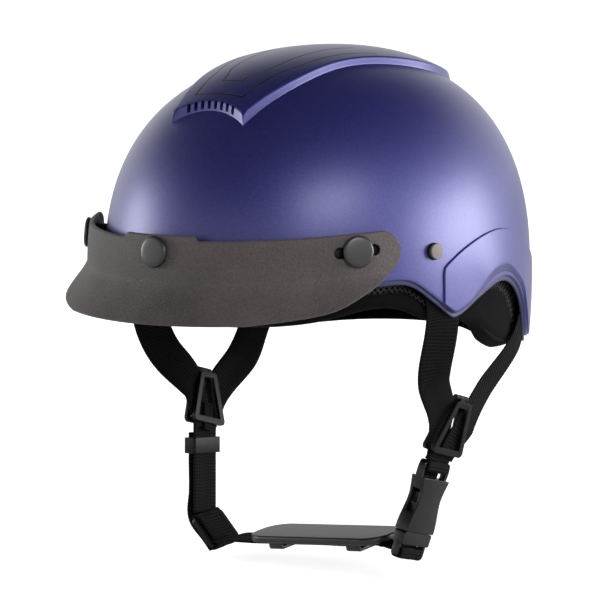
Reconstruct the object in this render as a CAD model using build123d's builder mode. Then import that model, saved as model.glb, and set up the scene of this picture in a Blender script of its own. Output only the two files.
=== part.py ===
from build123d import *
import math
import os

os.makedirs("parts", exist_ok=True)

# The frame: X towards the wearer's left, Y to the back, Z up.
# The origin is the middle of the head opening, level with the widest ring of the shell.

# Shell
shell_half_width = 108
shell_front = 135.1
shell_back = 127.8
shell_reach = (shell_front + shell_back) / 2
shell_centre = (shell_back - shell_front) / 2
plan_stretch = shell_reach / shell_half_width
shell_height = 114
shell_wall = 3
crown_handle_share = 0.645
skirt_depth = 60
skirt_draw = 4.3
seat_gap = 0.3
overrun = 40
brow_rim_height = 4
nape_rim_drop = 47

# Lower edge of the shell seen from the side, front to back, as shares of the half width
rim_shares = (
    (-0.565, 0.028),
    (-0.472, -0.014),
    (-0.361, -0.105),
    (-0.250, -0.176),
    (-0.176, -0.171),
    (-0.065, -0.120),
    (0.120, -0.065),
    (0.296, -0.093),
    (0.400, -0.165),
    (0.480, -0.255),
    (0.545, -0.345),
    (0.640, -0.415),
)
rim_start_share = -0.69
rim_end_share = 0.80

# Raised flare over the ear, and the scallop cut into it above the rear arch
flare_rise = 1.2
flare_shares = (
    (-0.34, -0.30),
    (-0.33, 0.04),
    (-0.23, 0.11),
    (-0.06, 0.17),
    (0.12, 0.185),
    (0.35, 0.12),
    (0.60, -0.05),
    (0.85, -0.25),
    (1.05, -0.50),
)
scallop_shares = (
    (-0.16, -0.30),
    (-0.13, -0.125),
    (-0.03, -0.050),
    (0.12, -0.010),
    (0.26, -0.040),
    (0.38, -0.115),
    (0.47, -0.225),
    (0.56, -0.50),
)

# Raised crown panel with its front lip and slits, seen from above
panel_rise = 3.5
panel_lip_reach = 95
panel_lip_rise = 4.5
panel_shares = (
    (0.222, -0.880),
    (0.259, -0.741),
    (0.306, -0.518),
    (0.343, -0.176),
    (0.400, 0.080),
    (0.440, 0.350),
    (0.330, 0.720),
    (0.000, 0.890),
)
slit_count = 8
slit_pitch = 4.2
slit_width = 2
slit_depth = 4
slit_floor = 0.8

# Foam liner and padding
foam_thickness = 18
foam_rim_lift = 1.5
lining_gap = 0.3
comfort_thickness = 5.4
comfort_top = 46
comfort_bottom = 9
brow_pad_reach = 66
nape_pad_reach = 62
crown_pad_bottom = 52
cushion_thickness = 22
cushion_shares = (
    (-0.960, -0.155),
    (-0.800, -0.135),
    (-0.676, -0.111),
    (-0.491, -0.130),
    (-0.370, -0.190),
    (-0.157, -0.231),
    (-0.019, -0.287),
    (0.102, -0.370),
    (0.250, -0.444),
    (0.361, -0.475),
    (0.565, -0.500),
    (0.800, -0.505),
)
cushion_front_drop = 16.5
cushion_nape_drop = 54.5
cushion_start_share = -1.10
cushion_end_share = 0.95

# Peak: plan ellipses that follow the shell with a stand-off, and flare below the band
peak_wall = 2.5
peak_stand = 9.6
peak_top = 32
peak_tab_rise = 2.5
peak_tab_half_width = 25
peak_flare_start = 11
peak_flare_depth = 25
peak_flare_reach = 19.5
peak_flare_share = 0.40
peak_tip_reach = 66
peak_edge_shares = (
    (-1.34, -0.074),
    (-1.19, -0.045),
    (-0.98, 0.009),
    (-0.85, 0.046),
    (-0.72, 0.102),
    (-0.65, 0.148),
)
peak_tip_share = 0.195
peak_corner_share = -0.70
peak_slot_length = 25
peak_slot_height = 6
peak_hole_diameter = 5.4

# Press studs that hold the peak
stud_height = 24.5
side_stud_height = 22
side_stud_bearing = 51
cap_diameter = 17
cap_thickness = 3.4
cap_round = 1.1
stem_diameter = 4.6
stem_reach = 1.2
socket_flange_diameter = 11
socket_shank_diameter = 7
bore_clearance = 0.1
shank_clearance = 0.1
cap_gap = 0.3

# Strap rivets through the shell wall
rivet_bearing = 73.5
rivet_height = 16
rivet_head_diameter = 8
rivet_head_thickness = 1.5
rivet_shank_diameter = 4
rivet_washer_diameter = 13
rivet_washer_thickness = 1.2
rear_anchor_length = 18
rear_anchor_width = 9
rear_anchor_round = 2

# Webbing
web_width = 20
web_thickness = 1.4
web_gap = 0.3
web_inset = 1.6
band_steps = 14
strap_top_height = 27
front_exit_drop = 25
front_mid_out = 92
front_mid_fore = 31
front_mid_drop = 57
front_entry_fore = 9.5
front_end_fore = 4
rear_mid_out = 86.5
rear_mid_back = 29
rear_mid_drop = 69
rear_entry_back = 11
rear_end_back = 5
entry_height = 17
entry_steps = 3
web_end = 1.5
web_overlap = 6

# Rear strap's route inside the shell, as bearings and drops below the widest ring
rear_top_bearing = 133.5
rear_top_drop = 8
rear_middle_bearing = 122
rear_middle_drop = 29
rear_exit_bearing = 112.5
rear_exit_drop = 50

# Strap dividers, two hinged leaves each side
divider_out = 82.5
divider_fore = 13
divider_drop = 100
divider_lean = 14
divider_pitch = 20
divider_base = 29
divider_head = 14
divider_height = 30
divider_bar = 3.4
divider_corner = 2.6
leaf_thickness = 2.2
leaf_hinge_diameter = 3
leaf_pin_diameter = 1.6
leaf_side_gap = 0.2
hinge_clearance = 0.05

# Side-release buckle on the wearer's left
buckle_top_out = 80.5
buckle_top_fore = 16
buckle_top_drop = 105.5
buckle_end_out = 73
buckle_end_fore = 28
buckle_end_drop = 141
buckle_width = 25
buckle_waist = 19.5
buckle_waist_drop = 18
buckle_shoulder = 6
buckle_head_half = 12
buckle_thickness = 8.6
buckle_bar = 3.2
buckle_bar_depth = 4
buckle_slot_foot = 8
buckle_wall = 3
channel_depth = 26
window_reach = 8
window_height = 13
sleeve_length = 10.5
arm_thickness = 4.4
arm_clearance = 0.35
arm_width = 3
arm_place = 6.4
arm_reach = 9.1
arm_length = 22
arm_head_height = 6
arm_root_diameter = 4
arm_pin_diameter = 1.6
arm_swing_room = 0.8
plug_thickness = 7.2
plug_height = 7
plug_slot = 3.4
plug_round = 1.2
plug_cheek = 2
tongue_width = 4.4
tongue_length = 12
tongue_thickness = 3

# Chin strap, chin cup, slider and keeper
chin_fore = 26
chin_left_out = 58
chin_left_drop = 149.5
chin_right_out = 56
chin_right_drop = 161
chin_steps = 6
cup_length = 94
cup_width = 32
cup_thickness = 4
cup_offset = 10.5
cup_corner = 13
cup_round = 1.4
bridge_width = 9
bridge_wall = 1.8
bridge_spread = 27
slider_out = 71.5
slider_fore = 22
slider_drop = 158.5
slider_tilt = 48
slider_length = 20
slider_width = 25
slider_thickness = 3
slider_bar = 3.2
keeper_drop = 112
keeper_height = 9
keeper_wall = 1.5
tail_out = 3.4
tail_low = 14
tail_high = 21


def size_of(share):
    """Length that a share of the shell's half width stands for."""
    return share * shell_half_width


def profile_height(step):
    """Height share of the shell profile at a step from the ring to the crown."""
    rest = 1 - step
    return 3 * rest**2 * step * crown_handle_share + 3 * rest * step**2 + step**3


def profile_reach(step):
    """Plan share of the shell profile at a step from the ring to the crown."""
    rest = 1 - step
    return rest**3 + 3 * rest**2 * step + 3 * rest * step**2 * crown_handle_share


def plan_share(height):
    """Share of the full plan that the shell has at a height."""
    if height < 0:
        return 1 - skirt_draw / shell_half_width * (height / skirt_depth) ** 2
    low = 0.0
    high = 1.0
    for _ in range(40):
        middle = (low + high) / 2
        if profile_height(middle) * shell_height < height:
            low = middle
        else:
            high = middle
    return profile_reach(low)


def shell_plane(bearing, height, grow=0):
    """Plane on the shell that faces out; the bearing turns from the front to the left."""
    turn = math.radians(bearing)
    share = plan_share(height)
    probe = shell_wall / 2
    slope = (plan_share(height + probe) - plan_share(height - probe)) / (2 * probe)
    centre = Vector(0, shell_centre, height)
    rim = Vector(shell_half_width * math.sin(turn), -shell_reach * math.cos(turn), 0)
    around = Vector(shell_half_width * math.cos(turn), shell_reach * math.sin(turn), 0)
    facing = around.cross(rim * slope + Vector(0, 0, 1)).normalized()
    return Plane(origin=centre + rim * share + facing * grow, x_dir=around, z_dir=facing)


def hanging_plane(point, up):
    """Plane through a point whose Y runs along up and whose Z faces the wearer's left."""
    rise = Vector(*up).normalized()
    facing = (Vector(1, 0, 0) - rise * rise.X).normalized()
    return Plane(origin=point, x_dir=rise.cross(facing), z_dir=facing)


def round_place(along):
    """Place in the round plan that the stretch carries to a place along the helmet."""
    return (along - shell_centre) / plan_stretch


def round_layer(outer, inner):
    """Layer between two offsets from the shell's outer surface, still round in plan."""
    with BuildPart() as layer:
        with BuildSketch(Plane.XZ):
            with BuildLine():
                for grow in (outer, inner):
                    width = shell_half_width + grow
                    top = shell_height + grow
                    handle = crown_handle_share * top
                    Bezier((width, 0), (width, handle), (crown_handle_share * width, top), (0, top))
                    Bezier((width, 0), (width, -skirt_depth / 2), (width - skirt_draw, -skirt_depth))
                Line((0, shell_height + outer), (0, shell_height + inner))
                skirt_foot = shell_half_width - skirt_draw
                Line((skirt_foot + outer, -skirt_depth), (skirt_foot + inner, -skirt_depth))
            make_face()
        revolve(axis=Axis.Z)
    return layer.part


def oval(piece):
    """Stretch a piece that is round in plan to the helmet's oval plan."""
    return Location((0, shell_centre, 0)) * scale(piece, by=(1, plan_stretch, 1))


def in_round(piece):
    """Shape of a piece before the stretch that makes the plan oval."""
    return Location((0, -shell_centre / plan_stretch, 0)) * scale(piece, by=(1, 1 / plan_stretch, 1))


def round_holes(planes, radius, start, depth):
    """Pins through each plane for holes that are round after the stretch."""
    with BuildPart() as pins:
        for plane in planes:
            with BuildSketch(plane.offset(start)):
                Circle(radius)
        extrude(amount=depth)
    return in_round(pins.part)


def above_line(start, shares, end):
    """Block above an edge line of the side view, level before its start and past its end."""
    points = [(round_place(start[0]), start[1])]
    points += [(round_place(size_of(along)), size_of(up)) for along, up in shares]
    points += [(round_place(end[0]), end[1])]
    far = shell_half_width + overrun
    top = shell_height + overrun
    with BuildPart() as block:
        with BuildSketch(Plane.YZ):
            with BuildLine():
                Line((-far, points[0][1]), points[0])
                Spline(*points, tangents=((1, 0), (1, 0)))
                Polyline(points[-1], (far, points[-1][1]), (far, top), (-far, top), (-far, points[0][1]))
            make_face()
        extrude(amount=far, both=True)
    return block.part


def side_block(shares):
    """Block through the helmet whose side view outline follows the shares and closes below."""
    points = [(round_place(size_of(along)), size_of(up)) for along, up in shares]
    with BuildPart() as block:
        with BuildSketch(Plane.YZ):
            with BuildLine():
                Spline(*points)
                Line(points[-1], points[0])
            make_face()
        extrude(amount=shell_half_width + overrun, both=True)
    return block.part


def band(points, facings, width=web_width, thickness=web_thickness):
    """Flat webbing through the points of a route, with the way that it faces at each."""
    with BuildLine() as route_line:
        Spline(*points)
    route = route_line.edges()[0]
    reached = [0.0]
    for start, end in zip(points, points[1:]):
        reached.append(reached[-1] + (end - start).length)
    with BuildPart() as webbing:
        for step in range(band_steps + 1):
            share = step / band_steps
            leg = max(index for index in range(len(points) - 1) if reached[index] <= share * reached[-1])
            blend = (share * reached[-1] - reached[leg]) / (reached[leg + 1] - reached[leg])
            facing = facings[leg] * (1 - blend) + facings[leg + 1] * blend
            heading = route % share
            with BuildSketch(Plane(origin=route @ share, x_dir=facing.cross(heading), z_dir=heading)):
                Rectangle(width, thickness)
        loft(ruled=True)
    return webbing.part


def to_the_right(piece):
    """Mirror image of a piece on the wearer's other side."""
    return mirror(piece, about=Plane.YZ)


def save(piece, label):
    """Label a finished piece and write its file."""
    piece.label = label
    export_step(piece, f"parts/{label}.step")


# Blocks, levels and planes that several pieces share
rim_start = (size_of(rim_start_share), brow_rim_height)
rim_end = (size_of(rim_end_share), -nape_rim_drop)
shell_block = above_line(rim_start, rim_shares, rim_end)
foam_block = Location((0, 0, foam_rim_lift)) * shell_block
cushion_top_block = Location((0, 0, foam_rim_lift - lining_gap)) * shell_block

web_level = (web_thickness + web_gap) / 2
strap_grow = -shell_wall - web_inset
strap_back = shell_wall + web_inset + web_thickness / 2
channel_grow = -strap_back - web_gap
washer_depth = strap_back + web_gap + rivet_washer_thickness
foam_grow = -shell_wall - seat_gap
comfort_grow = foam_grow - foam_thickness - lining_gap
stud_planes = {
    "centre": shell_plane(0, stud_height),
    "left": shell_plane(side_stud_bearing, side_stud_height),
    "right": shell_plane(-side_stud_bearing, side_stud_height),
}
left_rivet = shell_plane(rivet_bearing, rivet_height)
right_rivet = shell_plane(-rivet_bearing, rivet_height)
rivet_planes = (left_rivet, right_rivet)

# Outer shell
with BuildPart() as flare_band:
    add(round_layer(flare_rise, -shell_wall / 2))
    add(side_block(flare_shares), mode=Mode.INTERSECT)
    add(side_block(scallop_shares), mode=Mode.SUBTRACT)

panel_side = [(size_of(out), round_place(size_of(along))) for out, along in panel_shares]
lip_middle = (0, round_place(-panel_lip_reach + panel_lip_rise))
with BuildPart() as crown_panel:
    add(round_layer(panel_rise, -shell_wall / 2))
    with BuildSketch():
        with BuildLine():
            Spline(*panel_side)
            Line(panel_side[-1], lip_middle)
            Line(panel_side[0], lip_middle)
        make_face()
        mirror(about=Plane.YZ)
    extrude(amount=shell_height + overrun, mode=Mode.INTERSECT)

with BuildPart() as lip_slits:
    add(round_layer(2 * panel_rise, slit_floor))
    with BuildSketch():
        with Locations(lip_middle):
            with GridLocations(slit_pitch, slit_depth, slit_count, 1):
                Rectangle(slit_width, slit_depth)
    extrude(amount=shell_height + overrun, mode=Mode.INTERSECT)

through = 3 * shell_wall
socket_hole = socket_shank_diameter / 2 + seat_gap
rivet_hole = rivet_shank_diameter / 2 + shank_clearance
stud_holes = round_holes(stud_planes.values(), socket_hole, -2 * shell_wall, through)
rivet_holes = round_holes(rivet_planes, rivet_hole, -2 * shell_wall, through)
with BuildPart() as outer_shell:
    add(round_layer(0, -shell_wall))
    add(flare_band.part)
    add(crown_panel.part)
    add(lip_slits.part, mode=Mode.SUBTRACT)
    add(shell_block, mode=Mode.INTERSECT)
    add(stud_holes, clean=False, mode=Mode.SUBTRACT)
    add(rivet_holes, clean=False, mode=Mode.SUBTRACT)
save(oval(outer_shell.part), "outer_shell")

# Foam liner with the channels that the straps, washers and sockets need
channel_half = web_width / 2 + 2 * web_inset
rear_strap_top = shell_plane(rear_top_bearing, -rear_top_drop, strap_grow)
rear_strap_middle = shell_plane(rear_middle_bearing, -rear_middle_drop, strap_grow)
rear_strap_exit = shell_plane(rear_exit_bearing, -rear_exit_drop, strap_grow)


def strap_channels(floor):
    """Room for the straps along the inside of the shell, down to an offset from its surface."""
    front_place = round_place(left_rivet.origin.Y)
    channel_share = channel_half / plan_stretch
    top_place = round_place(rear_strap_top.origin.Y)
    exit_place = round_place(rear_strap_exit.origin.Y)
    exit_low = rear_strap_exit.origin.Z - channel_half
    with BuildPart() as channels:
        add(round_layer(0, floor))
        with BuildSketch(Plane.YZ):
            with Locations((front_place, 0)):
                Rectangle(2 * channel_share, 2 * (strap_top_height + web_inset))
            Polygon(
                (top_place - channel_share, rear_strap_top.origin.Z + channel_half / 2),
                (top_place + channel_share / 2, rear_strap_top.origin.Z + channel_half),
                (top_place + channel_share, rear_strap_top.origin.Z),
                (exit_place + channel_share, exit_low),
                (exit_place - 2 * channel_share, exit_low),
                align=None,
            )
        extrude(amount=shell_half_width + overrun, both=True, mode=Mode.INTERSECT)
    return channels.part


flange_room = socket_flange_diameter / 2 + seat_gap
washer_room = rivet_washer_diameter / 2 + web_gap
flange_rooms = round_holes(stud_planes.values(), flange_room, -2 * shell_wall, through)
washer_rooms = round_holes(rivet_planes, washer_room, -washer_depth - web_gap, through)
anchor_room = rear_anchor_length / 2 + 2 * web_gap
anchor_planes = [
    shell_plane(hand * rear_top_bearing, -rear_top_drop, -washer_depth - 4 * web_gap) for hand in (-1, 1)
]
anchor_rooms = round_holes(anchor_planes, anchor_room, 0, through)
with BuildPart() as foam_liner:
    add(round_layer(foam_grow, foam_grow - foam_thickness))
    add(foam_block, mode=Mode.INTERSECT)
    add(strap_channels(channel_grow), mode=Mode.SUBTRACT)
    add(flange_rooms, clean=False, mode=Mode.SUBTRACT)
    add(washer_rooms, clean=False, mode=Mode.SUBTRACT)
    add(anchor_rooms, clean=False, mode=Mode.SUBTRACT)
save(oval(foam_liner.part), "foam_liner")

# Comfort padding inside the foam
with BuildPart() as comfort_layer:
    add(round_layer(comfort_grow, comfort_grow - comfort_thickness))

with BuildPart() as round_crown_pad:
    add(comfort_layer.part)
    with BuildSketch(Plane.XY.offset(crown_pad_bottom)):
        Rectangle(2 * shell_half_width, 2 * shell_half_width)
    extrude(amount=shell_height, mode=Mode.INTERSECT)
save(oval(round_crown_pad.part), "crown_pad")

pad_rows = {
    "brow_pad": (-shell_front - overrun, -brow_pad_reach - lining_gap / 2),
    "side_pads": (-brow_pad_reach + lining_gap / 2, nape_pad_reach - lining_gap / 2),
    "nape_pad": (nape_pad_reach + lining_gap / 2, shell_back + overrun),
}
pads = {}
for row, (row_front, row_back) in pad_rows.items():
    with BuildPart() as pad_row:
        add(comfort_layer.part)
        with BuildSketch(Plane.XY.offset(comfort_bottom)):
            with Locations((0, round_place((row_front + row_back) / 2))):
                Rectangle(2 * shell_half_width, (row_back - row_front) / plan_stretch)
        extrude(amount=comfort_top - comfort_bottom, mode=Mode.INTERSECT)
    pads[row] = oval(pad_row.part)
save(pads["brow_pad"], "brow_pad")
save(pads["nape_pad"], "nape_pad")
side_pads = pads["side_pads"].solids().sort_by(Axis.X)
save(Part(side_pads[-1].wrapped), "side_pad_left")
save(Part(side_pads[0].wrapped), "side_pad_right")


# Peak
def peak_ellipse(height, inset):
    """Half width and reach of the peak's plan at a height."""
    share = plan_share(height)
    drop = max(peak_flare_start - height, 0) / peak_flare_depth
    flare = peak_flare_reach * drop ** (1 + peak_flare_share)
    stand = peak_stand + flare - inset
    return shell_half_width * share + stand, shell_reach * share + stand


def peak_body(inset):
    """Solid bounded by the peak's outer surface, moved in by an inset."""
    upper_step = (peak_top - peak_flare_start) / 3
    heights = [peak_top + 2 * peak_tab_rise]
    heights += [peak_top - upper_step * step for step in range(3)]
    heights += [peak_flare_start - peak_flare_depth * step / 5 for step in range(6)]
    with BuildPart() as body:
        for height in heights:
            half_width, reach = peak_ellipse(height, inset)
            with BuildSketch(Plane((0, shell_centre, height))):
                Ellipse(half_width, reach)
        loft()
    return body.part


peak_outer = peak_body(0)
peak_inner = peak_body(peak_wall)
edge_points = [(size_of(along), size_of(up)) for along, up in peak_edge_shares]
peak_far = -(shell_front + 2 * overrun)
with BuildPart() as peak_outline:
    with BuildSketch(Plane.YZ):
        with BuildLine():
            Line((peak_far, edge_points[0][1]), edge_points[0])
            Spline(
                *edge_points,
                (-peak_tip_reach, size_of(peak_tip_share)),
                (size_of(peak_corner_share), peak_top),
                tangents=((1, 0), (-1, 0)),
            )
            Polyline((size_of(peak_corner_share), peak_top), (peak_far, peak_top), (peak_far, edge_points[0][1]))
        make_face()
    extrude(amount=shell_half_width + overrun, both=True)
    with BuildSketch(Plane.XZ):
        with Locations((0, peak_top)):
            SlotOverall(2 * peak_tab_half_width, 2 * peak_tab_rise)
    extrude(amount=shell_front + overrun)

with BuildPart() as peak:
    add(peak_outer)
    add(peak_inner, mode=Mode.SUBTRACT)
    add(peak_outline.part, mode=Mode.INTERSECT)
    for name, stud in stud_planes.items():
        with BuildSketch(stud):
            if name == "centre":
                Circle(peak_hole_diameter / 2)
            else:
                SlotOverall(peak_slot_length, peak_slot_height)
        extrude(amount=2 * peak_stand, mode=Mode.SUBTRACT)
save(peak.part, "peak")

# Press studs: a socket seated on the shell, and a cap whose stem pushes into it
socket_top = peak_stand - peak_wall - 3 * seat_gap
cap_base = peak_stand + cap_gap
for name, stud in stud_planes.items():
    with BuildPart() as socket:
        with BuildSketch(stud.offset(-shell_wall)):
            Circle(socket_shank_diameter / 2)
        extrude(amount=shell_wall + 2 * seat_gap)
        with BuildSketch(stud.offset(seat_gap)):
            Circle(socket_flange_diameter / 2)
        extrude(amount=socket_top - seat_gap)
        with BuildSketch(stud.offset(stem_reach - seat_gap)):
            Circle(stem_diameter / 2 + bore_clearance)
        extrude(amount=socket_top, mode=Mode.SUBTRACT)
    save(socket.part, f"stud_socket_{name}")
    with BuildPart() as cap:
        with BuildSketch(stud.offset(cap_base)):
            Circle(cap_diameter / 2)
        extrude(amount=cap_thickness)
        fillet(cap.edges().sort_by(Axis(stud.origin, stud.z_dir))[-1], cap_round)
        with BuildSketch(stud.offset(stem_reach)):
            Circle(stem_diameter / 2)
        extrude(amount=cap_base - stem_reach)
    save(cap.part, f"stud_cap_{name}")

# Strap rivets and their washers
for side, rivet in (("left", left_rivet), ("right", right_rivet)):
    with BuildPart() as strap_rivet:
        with BuildSketch(rivet.offset(flare_rise + seat_gap)):
            Circle(rivet_head_diameter / 2)
        extrude(amount=rivet_head_thickness)
        with BuildSketch(rivet.offset(-washer_depth)):
            Circle(rivet_shank_diameter / 2)
        extrude(amount=washer_depth + flare_rise + seat_gap)
    save(strap_rivet.part, f"strap_rivet_{side}")
    with BuildPart() as washer:
        with BuildSketch(rivet.offset(-washer_depth)):
            Circle(rivet_washer_diameter / 2)
            Circle(rivet_shank_diameter / 2 + shank_clearance, mode=Mode.SUBTRACT)
        extrude(amount=rivet_washer_thickness)
    save(washer.part, f"rivet_washer_{side}")


def bar_loop(plane, bar_place, bar_height, bar_depth, width=web_width):
    """Ring of webbing round a bar that lies along the plane's X at a place on its Y."""
    section = Plane(
        origin=plane.from_local_coords((-width / 2, bar_place, 0)), x_dir=plane.y_dir, z_dir=plane.x_dir
    )
    with BuildPart() as ring:
        with BuildSketch(section):
            RectangleRounded(
                bar_height + 2 * (web_gap + web_thickness),
                bar_depth + 2 * (web_gap + web_thickness),
                web_thickness,
            )
            Rectangle(bar_height + 2 * web_gap, bar_depth + 2 * web_gap, mode=Mode.SUBTRACT)
        extrude(amount=width)
    return ring.part


# Webbing from the shell to the dividers
divider = hanging_plane(
    (divider_out, -divider_fore, -divider_drop),
    (math.tan(math.radians(divider_lean)), math.tan(math.radians(divider_pitch)), 1),
)
leaf_level = web_level + web_thickness / 2 + web_gap


def divider_entry(start, end, level):
    """Points of a strap's straight way down between the divider's leaves."""
    places = []
    for step in range(entry_steps + 1):
        share = step / entry_steps
        across = start + (end - start) * share
        up = entry_height - (entry_height + web_overlap) * share
        places.append(divider.from_local_coords(Vector(across, up, level)))
    return places


front_route = [
    shell_plane(rivet_bearing, strap_top_height, strap_grow),
    shell_plane(rivet_bearing, rivet_height, strap_grow),
    shell_plane(rivet_bearing, 0, strap_grow),
    shell_plane(rivet_bearing, -front_exit_drop, strap_grow),
]
front_points = [place.origin for place in front_route]
front_points += [
    Vector(front_mid_out, -front_mid_fore, -front_mid_drop),
]
front_points += divider_entry(-front_entry_fore, -front_end_fore, -web_level)
front_facings = [place.z_dir for place in front_route] + [divider.z_dir] * (2 + entry_steps)
strap_cut = Plane(divider.from_local_coords(Vector(0, -web_end, 0)), x_dir=divider.x_dir, z_dir=divider.y_dir)
link_cut = strap_cut.offset(-web_gap)
with BuildPart() as front_strap:
    add(band(front_points, front_facings))
    split(bisect_by=strap_cut, keep=Keep.TOP)
    with BuildSketch(left_rivet.offset(-washer_depth)):
        Circle(rivet_shank_diameter / 2 + shank_clearance)
    extrude(amount=washer_depth, mode=Mode.SUBTRACT)
save(front_strap.part, "front_strap_left")
save(to_the_right(front_strap.part), "front_strap_right")

rear_route = [rear_strap_top, rear_strap_middle, rear_strap_exit]
rear_points = [place.origin for place in rear_route]
rear_points += [
    Vector(rear_mid_out, rear_mid_back, -rear_mid_drop),
]
rear_points += divider_entry(rear_entry_back, rear_end_back, web_level)
rear_facings = [place.z_dir for place in rear_route] + [divider.z_dir] * (2 + entry_steps)
with BuildPart() as rear_strap:
    add(band(rear_points, rear_facings))
    split(bisect_by=strap_cut, keep=Keep.TOP)
save(rear_strap.part, "rear_strap_left")
save(to_the_right(rear_strap.part), "rear_strap_right")

# Rolled cushion round the head opening, which shows below the shell
cushion_start = (size_of(cushion_start_share), -cushion_front_drop)
cushion_end = (size_of(cushion_end_share), -cushion_nape_drop)
with BuildPart() as rim_cushion:
    add(round_layer(channel_grow, channel_grow - cushion_thickness))
    add(above_line(cushion_start, cushion_shares, cushion_end), mode=Mode.INTERSECT)
    add(cushion_top_block, mode=Mode.SUBTRACT)
    add(strap_channels(channel_grow - web_inset), mode=Mode.SUBTRACT)
save(oval(rim_cushion.part), "rim_cushion")

# Plate that holds the rear strap's end inside the shell
anchor_plane = rear_strap_top.offset(-web_thickness / 2 - 3 * web_gap - rivet_washer_thickness)
with BuildPart() as rear_anchor:
    with BuildSketch(anchor_plane):
        RectangleRounded(rear_anchor_length, rear_anchor_width, rear_anchor_round)
    extrude(amount=rivet_washer_thickness)
save(rear_anchor.part, "rear_anchor_left")
save(to_the_right(rear_anchor.part), "rear_anchor_right")

# Strap dividers: two leaves with the webbing between them, hinged at the head
hinge_height = divider_height + leaf_hinge_diameter / 2


def leaf_plate(level):
    """Trapezoid leaf with a window, its near face at a level above the divider's plane."""
    with BuildPart() as leaf:
        with BuildSketch(divider.offset(level)):
            with BuildLine():
                FilletPolyline(
                    (-divider_base / 2, 0),
                    (divider_base / 2, 0),
                    (divider_head / 2, divider_height),
                    (-divider_head / 2, divider_height),
                    radius=divider_corner,
                    close=True,
                )
            make_face()
            offset(amount=-divider_bar, mode=Mode.SUBTRACT)
        extrude(amount=leaf_thickness)
    return leaf.part


def knuckle(start, end, level):
    """Hinge knuckle from one place to another along the head, with the web to its leaf."""
    section = Plane(
        origin=divider.from_local_coords((start, hinge_height, 0)), x_dir=divider.y_dir, z_dir=divider.x_dir
    )
    with BuildPart() as body:
        with BuildSketch(section):
            Circle(leaf_hinge_diameter / 2)
            with Locations((-leaf_hinge_diameter / 2, level / 2)):
                Rectangle(leaf_hinge_diameter, abs(level))
        extrude(amount=end - start)
    return body.part


knuckle_half = divider_head / 2 - divider_corner / 2
flap_half = knuckle_half / 3
hinge_section = Plane(
    origin=divider.from_local_coords((-knuckle_half, hinge_height, 0)),
    x_dir=divider.y_dir,
    z_dir=divider.x_dir,
)
with BuildPart() as divider_frame:
    add(leaf_plate(-leaf_level - leaf_thickness))
    add(knuckle(-knuckle_half, -flap_half - leaf_side_gap, -leaf_level))
    add(knuckle(flap_half + leaf_side_gap, knuckle_half, -leaf_level))
    with BuildSketch(hinge_section):
        Circle(leaf_pin_diameter / 2)
    extrude(amount=2 * knuckle_half)
save(divider_frame.part, "divider_frame_left")
save(to_the_right(divider_frame.part), "divider_frame_right")

with BuildPart() as divider_flap:
    add(leaf_plate(leaf_level))
    add(knuckle(-flap_half, flap_half, leaf_level))
    with BuildSketch(hinge_section):
        Circle(leaf_pin_diameter / 2 + hinge_clearance)
    extrude(amount=2 * knuckle_half, mode=Mode.SUBTRACT)
save(divider_flap.part, "divider_flap_left")
save(to_the_right(divider_flap.part), "divider_flap_right")

# Side-release buckle: a sleeve with a strap bar, and a plug with two sprung arms
buckle_top = Vector(buckle_top_out, -buckle_top_fore, -buckle_top_drop)
buckle_end = Vector(buckle_end_out, -buckle_end_fore, -buckle_end_drop)
buckle_length = (buckle_top - buckle_end).length
buckle = hanging_plane(buckle_top, buckle_top - buckle_end)
channel_half_width = buckle_width / 2 - buckle_wall
sleeve_top = buckle_length - sleeve_length
with BuildPart() as buckle_socket:
    with BuildSketch(buckle):
        with BuildLine():
            head = Line((-buckle_head_half, 0), (buckle_head_half, 0))
            side = Spline(
                head @ 1,
                (buckle_width / 2, -buckle_shoulder),
                (buckle_waist / 2, -buckle_waist_drop),
                (buckle_width / 2, -buckle_length + buckle_shoulder / 2),
                (buckle_width / 2, -buckle_length),
            )
            foot = Line(side @ 1, (-buckle_width / 2, -buckle_length))
            Spline(
                foot @ 1,
                (-buckle_width / 2, -buckle_length + buckle_shoulder / 2),
                (-buckle_waist / 2, -buckle_waist_drop),
                (-buckle_width / 2, -buckle_shoulder),
                head @ 0,
            )
        make_face()
    extrude(amount=buckle_thickness / 2, both=True)
    with BuildSketch(buckle.offset(buckle_bar_depth / 2)):
        with Locations((0, -buckle_slot_foot / 2)):
            Rectangle(2 * buckle_width, buckle_slot_foot)
    extrude(amount=buckle_thickness, mode=Mode.SUBTRACT)
    with BuildSketch(buckle.offset(-buckle_bar_depth / 2)):
        with Locations((0, -buckle_slot_foot / 2)):
            Rectangle(2 * buckle_width, buckle_slot_foot)
    extrude(amount=-buckle_thickness, mode=Mode.SUBTRACT)
    with BuildSketch(buckle):
        with Locations((0, -(buckle_bar + buckle_slot_foot) / 2)):
            Rectangle(web_width + 2 * web_gap, buckle_slot_foot - buckle_bar)
    extrude(amount=buckle_thickness, both=True, mode=Mode.SUBTRACT)
    with BuildSketch(buckle):
        with Locations((0, -buckle_length + channel_depth / 2)):
            Rectangle(2 * channel_half_width, channel_depth)
        for hand in (-1, 1):
            with Locations((hand * (window_reach + buckle_width / 4), -sleeve_top + window_height / 2)):
                Rectangle(buckle_width / 2, window_height)
    extrude(amount=arm_thickness / 2 + arm_clearance, both=True, mode=Mode.SUBTRACT)
save(buckle_socket.part, "buckle_socket")

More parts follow.
